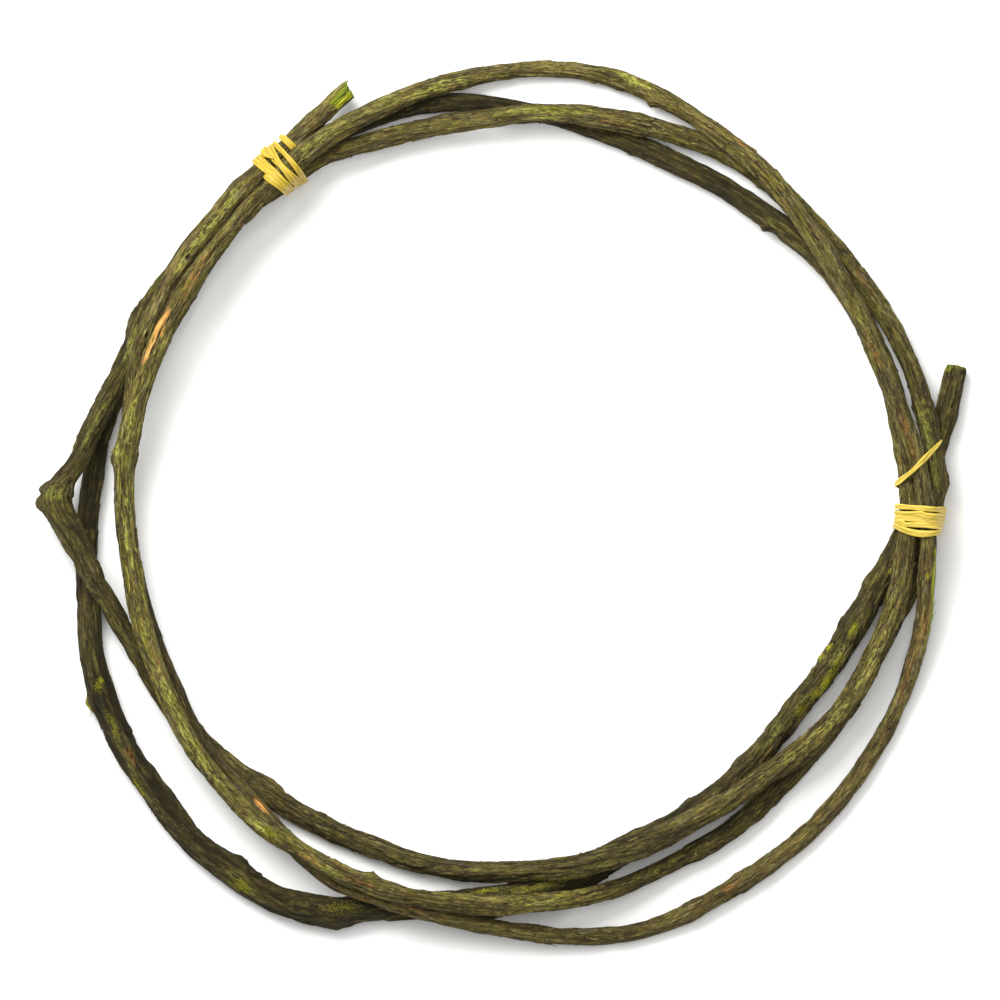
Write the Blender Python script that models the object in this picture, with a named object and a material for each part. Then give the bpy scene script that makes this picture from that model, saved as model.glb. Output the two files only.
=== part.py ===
"""A vine coil: one woody vine stem wound about three and a half times into a flat ring, held by two raffia ties.

The ring lies on the surface z = 0 with the origin under its middle. +X runs to the right and +Y to the top
where the ring is looked down on with its thin tip at the upper left and its thick cut end at the right.
"""

import math

import bmesh
import bpy
import numpy as np

COLLECTION = "vine_coil"
MM = 0.001

# Driving dimensions, in millimetres
MIDDLE = (0.8, -1.5)  # the middle of the ring, in the coordinates of the route's points
ROUTE_STEP = 4.0  # between the places where the stem's height is worked out
RING_STEP = 17.0  # between the rings of the stem's solid, where no knot adds more
LEAST_RING_STEP = 4.0
TOUCH_GAP = 0.6  # left between two passes of the stem, for facets that bend less smoothly than the stem
SELF_REACH = 60.0  # places nearer than this along the stem are the same bend, not two passes
SOLE = 0.5  # bark lower than this is pressed flat on the surface
RAFFIA_THICKNESS = 2.2
RAFFIA_GAP = 0.5  # between the raffia and the stem
RAFFIA_SIDES_A_TURN = 14
TIE_REACH = 22.0  # along the bundle, how far each side of a tie the stem is lifted off the surface
BUNDLE_REACH = 34.0  # across the bundle, how far from its middle a pass of the stem still belongs to it

# How the stem settles under its own weight
STIFFNESS = 60.0
DROP = 0.6  # how far it sinks in the first round, in millimetres, easing to nothing in the last
ROUNDS = 250
DEEPEST_STACK = 4

# The stem's route from its thin tip to its thick cut end, a stretch at a time. A stretch opens with its level
# in the stack, 0 lowest, which changes evenly to the next stretch's level. Then come x, y and thickness.
ROUTE = {
    "left 1": (2, (
        (-76.5, 204.5, 9.0), (-92.0, 190.0, 9.5), (-107.5, 175.5, 10.0), (-131.0, 153.5, 10.0),
        (-147.0, 134.5, 9.5), (-161.5, 115.0, 9.0), (-172.0, 95.5, 8.5), (-180.0, 75.0, 8.5),
        (-183.5, 55.0, 8.5), (-185.5, 30.0, 8.5), (-187.0, 0.0, 8.5), (-185.5, -20.0, 9.0),
        (-181.5, -40.0, 9.0), (-173.0, -70.0, 9.0), (-160.0, -100.0, 9.0), (-143.5, -130.0, 9.0),
    )),
    "bottom 1": (2, (
        (-128.5, -145.5, 9.0), (-117.0, -158.5, 9.0), (-104.5, -172.0, 9.0), (-84.0, -189.5, 9.0),
        (-60.0, -199.0, 9.0), (-30.0, -208.0, 9.0), (0.0, -214.5, 9.0), (30.0, -218.0, 9.0),
        (50.0, -218.0, 9.0), (70.0, -215.5, 9.0), (90.0, -208.5, 9.5), (110.0, -198.0, 10.0),
        (121.0, -191.5, 10.0), (140.0, -178.0, 9.5), (160.0, -160.5, 9.0),
    )),
    "right 1": (2, (
        (175.0, -143.0, 9.0), (190.0, -120.0, 9.0), (200.0, -100.0, 8.5), (207.0, -80.0, 9.0),
        (211.5, -60.0, 8.5), (213.0, -40.0, 9.0), (214.0, -20.0, 8.5), (212.5, 0.0, 9.0),
    )),
    "top 1": (3, (
        (208.5, 20.0, 9.0), (202.0, 40.0, 9.5), (194.0, 60.0, 10.0), (185.5, 80.0, 10.0),
        (175.0, 100.0, 10.0), (164.5, 120.0, 10.5), (151.0, 139.5, 10.0), (136.0, 159.0, 10.0),
        (119.0, 175.0, 10.0), (99.5, 190.0, 9.5), (79.5, 201.5, 9.5), (60.0, 210.0, 9.0),
        (40.0, 214.5, 8.5), (20.0, 215.5, 8.5), (0.0, 214.0, 8.5), (-20.0, 210.0, 9.5),
        (-40.0, 204.5, 10.0), (-60.0, 196.0, 10.0), (-80.0, 186.0, 10.5), (-100.0, 171.0, 11.0),
    )),
    "left 2": (3, (
        (-115.5, 155.0, 10.5), (-128.5, 142.0, 10.5), (-143.0, 124.5, 10.5), (-156.0, 105.0, 10.5),
        (-167.0, 85.0, 10.0), (-175.5, 65.0, 10.0), (-182.0, 45.0, 10.5), (-186.5, 20.0, 10.0),
        (-187.5, 0.0, 10.0), (-186.0, -20.0, 10.0), (-183.0, -40.0, 10.5), (-177.0, -70.0, 10.5),
        (-170.0, -90.0, 10.0), (-161.0, -110.0, 10.0), (-149.0, -130.0, 10.0),
    )),
    "bottom 2": (3, (
        (-132.0, -150.0, 9.5), (-117.0, -163.5, 10.0), (-100.0, -175.0, 10.0), (-80.0, -186.5, 10.5),
        (-60.0, -194.0, 10.5), (-40.0, -199.0, 9.5), (-20.0, -201.5, 10.5), (0.0, -202.5, 10.0),
        (20.0, -201.0, 9.5), (40.0, -199.0, 9.5),
    )),
    "right 2": (3, (
        (60.0, -193.0, 9.5), (80.0, -185.0, 10.0),
    )),
    "right 2, over the thick end": (1, (
        (100.0, -174.5, 10.5), (113.0, -167.0, 10.5), (130.0, -153.0, 10.5), (146.5, -136.5, 10.0),
        (166.0, -113.5, 10.0), (176.5, -97.5, 10.0), (195.5, -62.5, 10.0), (203.5, -47.5, 10.0),
        (210.5, -27.5, 10.0), (216.0, -7.5, 10.0), (218.0, 10.0, 10.0), (215.5, 30.0, 10.0),
        (211.0, 50.0, 10.0), (204.0, 70.0, 10.0),
    )),
    "top 2": (1, (
        (194.0, 90.0, 10.0), (179.5, 110.0, 10.5), (158.5, 135.5, 10.5), (145.0, 150.0, 10.5),
        (130.0, 162.5, 10.5), (110.0, 174.0, 10.0), (90.0, 182.0, 10.0), (70.0, 187.5, 10.5),
        (50.0, 191.0, 10.5), (30.0, 193.0, 10.0), (10.0, 193.0, 10.0), (-10.0, 190.5, 10.0),
        (-30.0, 187.5, 10.5), (-50.0, 183.0, 10.0), (-70.0, 177.5, 10.0), (-90.0, 171.0, 10.5),
        (-105.0, 161.5, 11.0),
    )),
    "left 3": (1, (
        (-122.0, 150.5, 11.0), (-138.5, 141.5, 11.0), (-150.5, 131.0, 11.0), (-161.0, 116.5, 11.5),
        (-171.5, 102.0, 11.5), (-183.5, 76.5, 12.0), (-192.5, 57.5, 11.0), (-203.0, 37.0, 11.0),
        (-213.0, 17.0, 11.0), (-219.0, 9.0, 12.5), (-222.0, 1.0, 15.0), (-219.5, -7.0, 14.0),
        (-215.0, -15.0, 13.0), (-206.0, -33.0, 12.0), (-196.5, -50.0, 11.0), (-185.0, -70.0, 10.5),
        (-173.0, -90.0, 10.5), (-158.0, -111.0, 11.0), (-144.5, -126.0, 11.5),
    )),
    "bottom 3": (1, (
        (-130.0, -138.0, 12.0), (-114.0, -148.5, 12.0), (-100.0, -157.0, 11.5), (-80.0, -167.0, 11.0),
        (-60.0, -175.0, 11.0), (-40.0, -181.5, 10.5), (-20.0, -185.0, 11.0), (0.0, -186.0, 11.0),
        (20.0, -185.0, 11.0), (40.0, -183.0, 12.0), (60.0, -176.0, 12.5), (80.0, -168.5, 12.5),
    )),
    "right 3": (2, (
        (100.0, -158.0, 11.5), (120.0, -147.0, 10.5), (136.0, -135.0, 11.0), (154.0, -122.0, 12.0),
        (172.5, -103.0, 11.0), (187.0, -77.5, 11.0), (198.0, -51.5, 11.0), (202.0, -30.0, 11.0),
        (204.0, -10.0, 11.0), (204.0, 10.0, 11.0), (201.5, 30.0, 11.0), (197.5, 50.0, 11.0),
        (190.5, 70.0, 11.0),
    )),
    "top 3": (2, (
        (181.0, 90.0, 11.0), (164.5, 116.0, 11.0),
    )),
    "top 3, going under": (2, (
        (145.0, 133.5, 11.5), (130.0, 144.5, 11.5),
    )),
    "top 3, under the others": (0, (
        (110.0, 157.5, 11.0), (90.0, 167.5, 11.0), (70.0, 177.0, 11.0), (50.0, 184.5, 10.5),
        (30.0, 191.0, 10.0), (10.0, 195.0, 10.0), (-10.0, 198.0, 9.5), (-30.0, 198.5, 10.0),
        (-50.0, 195.0, 10.0), (-70.0, 189.0, 11.0), (-82.5, 183.5, 11.0), (-99.0, 177.0, 11.0),
        (-115.0, 164.5, 11.0), (-130.5, 146.5, 11.0),
    )),
    "left 4": (0, (
        (-143.0, 127.0, 11.0), (-155.0, 106.5, 11.0), (-167.5, 86.5, 11.0), (-182.0, 66.0, 11.0),
        (-194.0, 49.0, 11.0), (-200.0, 30.0, 11.0), (-204.0, 10.0, 11.0), (-206.0, -10.0, 10.5),
        (-207.0, -30.0, 11.0), (-206.0, -50.0, 11.5), (-203.5, -80.0, 12.5), (-198.0, -100.0, 13.5),
        (-192.0, -114.5, 14.0), (-182.0, -132.5, 13.5), (-170.5, -149.0, 14.0),
    )),
    "bottom 4": (0, (
        (-154.0, -170.0, 13.0), (-134.5, -185.5, 13.5), (-112.5, -199.5, 13.5), (-101.0, -203.0, 14.5),
        (-82.0, -205.5, 14.5), (-60.0, -203.5, 13.5), (-30.0, -201.5, 14.0), (0.0, -200.5, 15.5),
        (20.0, -196.0, 14.5), (40.0, -188.5, 14.0), (62.5, -175.0, 14.0), (83.5, -165.0, 14.0),
        (103.5, -153.0, 13.0),
    )),
    "right 4": (0, (
        (120.0, -138.0, 12.5), (134.5, -122.0, 12.0), (144.5, -109.0, 12.0), (161.0, -89.0, 13.5),
        (176.5, -64.5, 13.5), (188.5, -43.5, 12.5), (199.0, -24.0, 12.0), (205.5, -10.0, 11.5),
        (213.0, 10.0, 11.0), (219.5, 30.0, 11.0), (224.5, 50.0, 11.0), (228.5, 67.0, 10.5),
    )),
}

# Each knot is given by its stretch, the x and y of its crest where it is looked down on, how far it stands
# out of the bark and how long it is along the stem.
KNOTS = (
    ("left 2", -194.0, 21.5, 2.0, 6.0),
    ("left 3", -185.5, 92.0, 2.0, 9.0),
    ("left 3", -232.0, 1.5, 2.6, 7.0),
    ("left 4", -206.5, -103.0, 2.0, 5.0),
    ("left 4", -184.0, -115.0, 1.6, 4.5),
    ("bottom 4", -127.5, -180.5, 2.2, 4.5),
    ("bottom 4", -102.0, -203.0, 1.6, 9.0),
    ("bottom 4", -82.5, -213.5, 1.4, 6.0),
    ("bottom 3", -113.5, -138.5, 3.2, 6.0),
    ("bottom 2", -64.0, -186.0, 1.6, 4.0),
    ("bottom 3", 60.0, -168.5, 1.8, 6.0),
    ("right 2, over the thick end", 103.0, -173.0, 1.8, 5.0),
    ("bottom 1", 117.5, -186.5, 1.2, 5.0),
    ("bottom 4", 94.0, -149.5, 1.8, 5.0),
    ("right 4", 117.5, -128.5, 1.8, 5.0),
    ("right 4", 171.5, -58.0, 1.8, 5.0),
    ("right 4", 183.0, -39.5, 1.6, 5.0),
    ("top 3, going under", 133.0, 136.0, 1.6, 6.0),
    ("top 2", 70.0, 193.5, 1.2, 5.0),
    ("right 2, over the thick end", 223.5, 8.5, 1.4, 5.0),
    ("right 1", 213.5, -36.0, 1.2, 5.0),
)

# A tie's winding is given by how far along the bundle the raffia is at each edge in turn, first where +across
# points, then over the top to the other edge, then underneath and back.
LEFT_TIE_MIDDLE = (-109.5, 164.5)
LEFT_TIE_HEADING = 225.0  # which way the bundle runs, in degrees from +X
LEFT_TIE_EDGES = [place for turn in range(5) for place in (-6.8 + 3.3 * turn, -7.0 + 3.3 * turn)]
RIGHT_TIE_MIDDLE = (210.0, -8.5)
RIGHT_TIE_HEADING = 90.0
RIGHT_TIE_TAIL = [38.0, 16.5]
RIGHT_TIE_EDGES = RIGHT_TIE_TAIL + [place for turn in range(5) for place in (3.5 - 2.8 * turn, 5.5 - 2.8 * turn)]


def read_route():
    """The route's points as rows of x, y, radius and level, and the span of rows that each stretch has."""
    rows = []
    spans = {}
    levels = [level for level, _ in ROUTE.values()] + [0]
    for (name, (level, points)), level_after in zip(ROUTE.items(), levels[1:]):
        for place, (x, y, thickness) in enumerate(points):
            share = place / len(points)
            rows.append((x - MIDDLE[0], y - MIDDLE[1], thickness / 2, level + (level_after - level) * share))
        spans[name] = (len(rows) - len(points), len(rows))
    return np.array(rows), spans


def smooth(rows, step):
    """Rows at an even step along a smooth curve through the given rows, and how far along each one lies.

    Between two rows the curve is a cubic, whose slope at each row comes from the rows before and after it.
    """
    along = np.concatenate([[0.0], np.cumsum(np.hypot(*np.diff(rows[:, :2], axis=0).T))])
    slope = np.gradient(rows, along, axis=0)
    places = np.linspace(0.0, along[-1], round(along[-1] / step) + 1)
    k = np.clip(np.searchsorted(along, places, side="right") - 1, 0, len(rows) - 2)
    span = (along[k + 1] - along[k])[:, None]
    t = (places - along[k])[:, None] / span
    curve = rows[k] * (1 + 2 * t) * (1 - t) ** 2 + rows[k + 1] * (3 - 2 * t) * t**2
    curve += span * (slope[k] * t * (1 - t) ** 2 - slope[k + 1] * (1 - t) * t**2)
    return curve, places


def settle(route):
    """The height of the stem's middle at each place, once the stem lies on the surface and on itself.

    Two passes whose circles would overlap, looked down on, need a height between them that closes the triangle
    of their radii and their distance. The stiff stem sinks a little in each round and is lifted off what is
    under it, and it sinks less and less, which leaves smooth humps.
    """
    x, y, radius, level = route.T
    count = len(route)
    apart = np.hypot(x[:, None] - x, y[:, None] - y)
    reach = radius[:, None] + radius + TOUCH_GAP
    order = np.arange(count)
    two_passes = np.abs(order[:, None] - order) * ROUTE_STEP > SELF_REACH
    upper, lower = np.nonzero((apart < reach) & two_passes & (level[:, None] > level))
    rise = np.sqrt(reach[upper, lower] ** 2 - apart[upper, lower] ** 2)
    floor = radius.copy()
    for middle in (LEFT_TIE_MIDDLE, RIGHT_TIE_MIDDLE):
        at_tie = np.hypot(x - middle[0] + MIDDLE[0], y - middle[1] + MIDDLE[1]) < TIE_REACH
        floor[at_tie] = radius[at_tie] + RAFFIA_THICKNESS + RAFFIA_GAP
    bend = np.diff(np.eye(count), 2, axis=0)
    stiff = np.linalg.inv(np.eye(count) + STIFFNESS * bend.T @ bend)
    height = floor + level * radius
    for settled in range(ROUNDS):
        height = np.maximum(stiff @ height - DROP * (1 - settled / ROUNDS), floor)
        for _ in range(DEEPEST_STACK):
            np.maximum.at(height, upper, height[lower] + rise)
    return height


def place_knots(points, spans, route, places):
    """For each knot: how far along the stem it is, which way it faces, how far it stands out, and its length."""
    knots = []
    along = np.concatenate([[0.0], np.cumsum(np.hypot(*np.diff(points[:, :2], axis=0).T))])
    for name, x, y, rise, length in KNOTS:
        first, last = spans[name]
        inside = (places >= along[first]) & (places <= along[last - 1])
        offset = np.array([x - MIDDLE[0], y - MIDDLE[1]]) - route[:, :2]
        distance = np.where(inside, np.hypot(*offset.T), np.inf)
        k = int(np.argmin(distance))
        sideways = min(1.0, distance[k] / (route[k, 2] + rise))
        facing = np.append(offset[k] / distance[k] * sideways, math.sqrt(1 - sideways**2))
        knots.append((places[k], facing, rise, length))
    return knots


def tube(name, points, radii, resolution):
    """A round tube through the points, as a curve object with filled caps. Lengths are in millimetres."""
    curve = bpy.data.curves.new(name, "CURVE")
    curve.dimensions = "3D"
    curve.twist_mode = "Z_UP"
    curve.bevel_depth = MM
    curve.bevel_resolution = resolution
    curve.use_fill_caps = True
    spline = curve.splines.new("POLY")
    spline.points.add(len(points) - 1)
    spline.points.foreach_set("co", np.column_stack([points * MM, np.ones(len(points))]).ravel())
    spline.points.foreach_set("radius", radii)
    return bpy.data.objects.new(name, curve)


def make_vine_stem(collection, points, spans, route, places, height):
    """The stem: a tube with rings at an even step and round each knot, swollen at the knots, flat where it rests."""
    knots = place_knots(points, spans, route, places)
    at_knots = [where + side * length for where, _, _, length in knots for side in (-1, 0, 1)]
    ring_places = [0.0]
    for place in sorted([*np.arange(RING_STEP, places[-1] - RING_STEP / 2, RING_STEP), *at_knots]):
        if place - ring_places[-1] > LEAST_RING_STEP:
            ring_places.append(place)
    ring_places = np.array([*ring_places, places[-1]])
    middle = np.column_stack([np.interp(ring_places, places, row) for row in (*route.T[:2], height)])
    radii = np.interp(ring_places, places, route[:, 2])

    guide = tube("stem_guide", middle, radii, 3)
    collection.objects.link(guide)
    bpy.context.view_layer.update()
    evaluated = guide.evaluated_get(bpy.context.evaluated_depsgraph_get())
    mesh = bpy.data.meshes.new_from_object(evaluated)
    mesh.name = "vine_stem"

    corners = np.empty(len(mesh.vertices) * 3)
    mesh.vertices.foreach_get("co", corners)
    corners = corners.reshape(-1, 3) / MM
    ring = np.argmin(np.hypot(*(corners[:, None, :2] - middle[:, :2]).transpose(2, 0, 1)) +
                     np.abs(corners[:, None, 2] - middle[:, 2]), axis=1)
    outward = corners - middle[ring]
    outward /= np.linalg.norm(outward, axis=1)[:, None]
    for where, facing, rise, length in knots:
        near = np.exp(-(((ring_places[ring] - where) / length) ** 2))
        corners += outward * (rise * near * np.clip(outward @ facing, 0, 1) ** 3)[:, None]
    corners[corners[:, 2] < SOLE, 2] = 0.0
    mesh.vertices.foreach_set("co", (corners * MM).ravel())

    cleaner = bmesh.new()
    cleaner.from_mesh(mesh)
    bmesh.ops.remove_doubles(cleaner, verts=cleaner.verts, dist=0.0001)
    cleaner.to_mesh(mesh)
    cleaner.free()
    mesh.shade_smooth()
    stem = bpy.data.objects.new("vine_stem", mesh)
    collection.objects.link(stem)
    bpy.data.objects.remove(guide)
    return stem


def strands_at(route, height, middle, along, across, place):
    """The ellipses in which a plane across the bundle cuts the passes of the stem.

    Each has its middle across the bundle and up, and its half width and half height. A pass that runs aslant is
    cut as much wider as it gets on more slowly along the bundle.
    """
    rows = np.column_stack([(route[:, :2] - middle) @ across, height, route[:, 2]])
    ahead = (route[:, :2] - middle) @ along - place
    k = np.nonzero(ahead[:-1] * ahead[1:] < 0)[0]
    gained = ahead[k + 1] - ahead[k]
    share = (-ahead[k] / gained)[:, None]
    u, z, radius = (rows[k] * (1 - share) + rows[k + 1] * share).T
    cuts = np.column_stack([u, z, radius * ROUTE_STEP / np.abs(gained), radius])
    return cuts[np.abs(u) < BUNDLE_REACH]


def make_tie(collection, name, route, height, middle, heading, edges):
    """A strand of raffia wound round the bundle, lying on the hull of the passes that it holds together."""
    middle = np.array(middle) - MIDDLE
    along = np.array([math.cos(math.radians(heading)), math.sin(math.radians(heading))])
    across = np.array([along[1], -along[0]])
    gap = RAFFIA_GAP + RAFFIA_THICKNESS / 2
    half_turns = len(edges) - 1
    points = []
    for k in range(half_turns * RAFFIA_SIDES_A_TURN // 2 + 1):
        turned = 2 * k / RAFFIA_SIDES_A_TURN
        place = np.interp(turned, range(len(edges)), edges)
        out = np.array([math.cos(math.pi * turned), math.sin(math.pi * turned)])
        strands = strands_at(route, height, middle, along, across, place)
        support = np.hypot(*(strands[:, 2:] * out).T)
        outer = np.argmax(strands[:, :2] @ out + support)
        halves = strands[outer, 2:]
        bulge = (halves[0] + gap) * (1 / math.cos(math.pi / RAFFIA_SIDES_A_TURN) - 1)
        u, z = strands[outer, :2] + halves**2 * out / support[outer] + (gap + bulge) * out
        points.append((*(middle + along * place + across * u), max(z, RAFFIA_THICKNESS / 2)))
    tie = tube(name, np.array(points), np.full(len(points), RAFFIA_THICKNESS / 2), 2)
    collection.objects.link(tie)
    return tie


def give_material(piece, name, colour, roughness):
    """A plain material on the piece, with its colour in linear light."""
    material = bpy.data.materials.new(name)
    material.use_nodes = True
    shader = material.node_tree.nodes["Principled BSDF"]
    shader.inputs["Base Color"].default_value = (*colour, 1.0)
    shader.inputs["Roughness"].default_value = roughness
    shader.inputs["Metallic"].default_value = 0.0
    piece.data.materials.clear()
    piece.data.materials.append(material)


def build():
    for piece in list(bpy.data.objects):
        bpy.data.objects.remove(piece)
    collection = bpy.data.collections.new(COLLECTION)
    bpy.context.scene.collection.children.link(collection)

    points, spans = read_route()
    route, places = smooth(points, ROUTE_STEP)
    height = settle(route)

    stem = make_vine_stem(collection, points, spans, route, places, height)
    give_material(stem, "vine_bark", (0.090, 0.080, 0.030), 0.85)
    left_tie = make_tie(
        collection, "raffia_tie_left", route, height, LEFT_TIE_MIDDLE, LEFT_TIE_HEADING, LEFT_TIE_EDGES
    )
    give_material(left_tie, "raffia_left", (0.76, 0.54, 0.10), 0.45)
    right_tie = make_tie(
        collection, "raffia_tie_right", route, height, RIGHT_TIE_MIDDLE, RIGHT_TIE_HEADING, RIGHT_TIE_EDGES
    )
    give_material(right_tie, "raffia_right", (0.78, 0.58, 0.14), 0.45)


build()
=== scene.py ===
"""The dressed vine coil: one long woody vine wound three and a half times into a flat ring, tied with raffia.

The sections follow the ring as it is made: the barked stem with its two ends, what grows and hangs on the
bark, the two raffia ties, and then the table, lights and camera of the picture. Lengths are in millimetres
until a mesh is made from them.
"""

import math

import bpy
import numpy as np
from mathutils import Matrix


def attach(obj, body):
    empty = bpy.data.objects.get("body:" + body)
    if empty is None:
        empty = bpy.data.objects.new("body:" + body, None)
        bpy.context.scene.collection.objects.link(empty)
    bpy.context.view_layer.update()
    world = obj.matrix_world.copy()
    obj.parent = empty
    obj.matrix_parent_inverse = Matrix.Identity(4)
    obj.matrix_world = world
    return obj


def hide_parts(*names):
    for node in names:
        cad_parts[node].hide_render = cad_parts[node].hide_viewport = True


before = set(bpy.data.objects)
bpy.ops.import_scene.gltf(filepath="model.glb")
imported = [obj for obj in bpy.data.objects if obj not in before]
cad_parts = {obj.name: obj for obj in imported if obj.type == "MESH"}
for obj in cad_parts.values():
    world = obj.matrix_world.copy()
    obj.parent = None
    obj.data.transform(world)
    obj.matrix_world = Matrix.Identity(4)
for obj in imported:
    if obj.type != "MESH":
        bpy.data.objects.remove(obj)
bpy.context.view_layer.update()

# The vine stem
# One wild vine, cut green, stripped of its side shoots and wound while it could still bend. Its bark has
# dried to long interlaced ridges with furrows and cross cracks between them, over a stem 8.5 to 15.5 mm
# thick.

MM = 0.001
MIDDLE = (0.8, -1.5)  # the middle of the ring, in the coordinates of the route's points
ROUTE_STEP = 4.0
TOUCH_GAP = 0.6
SELF_REACH = 60.0
STIFFNESS = 60.0
DROP = 0.6
ROUNDS = 250
DEEPEST_STACK = 4
RAFFIA_ROOM = 2.7  # the stem is held this far off the table at the ties
TIE_REACH = 22.0
LEFT_TIE_MIDDLE = (-109.5, 164.5)
RIGHT_TIE_MIDDLE = (210.0, -8.5)

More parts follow.
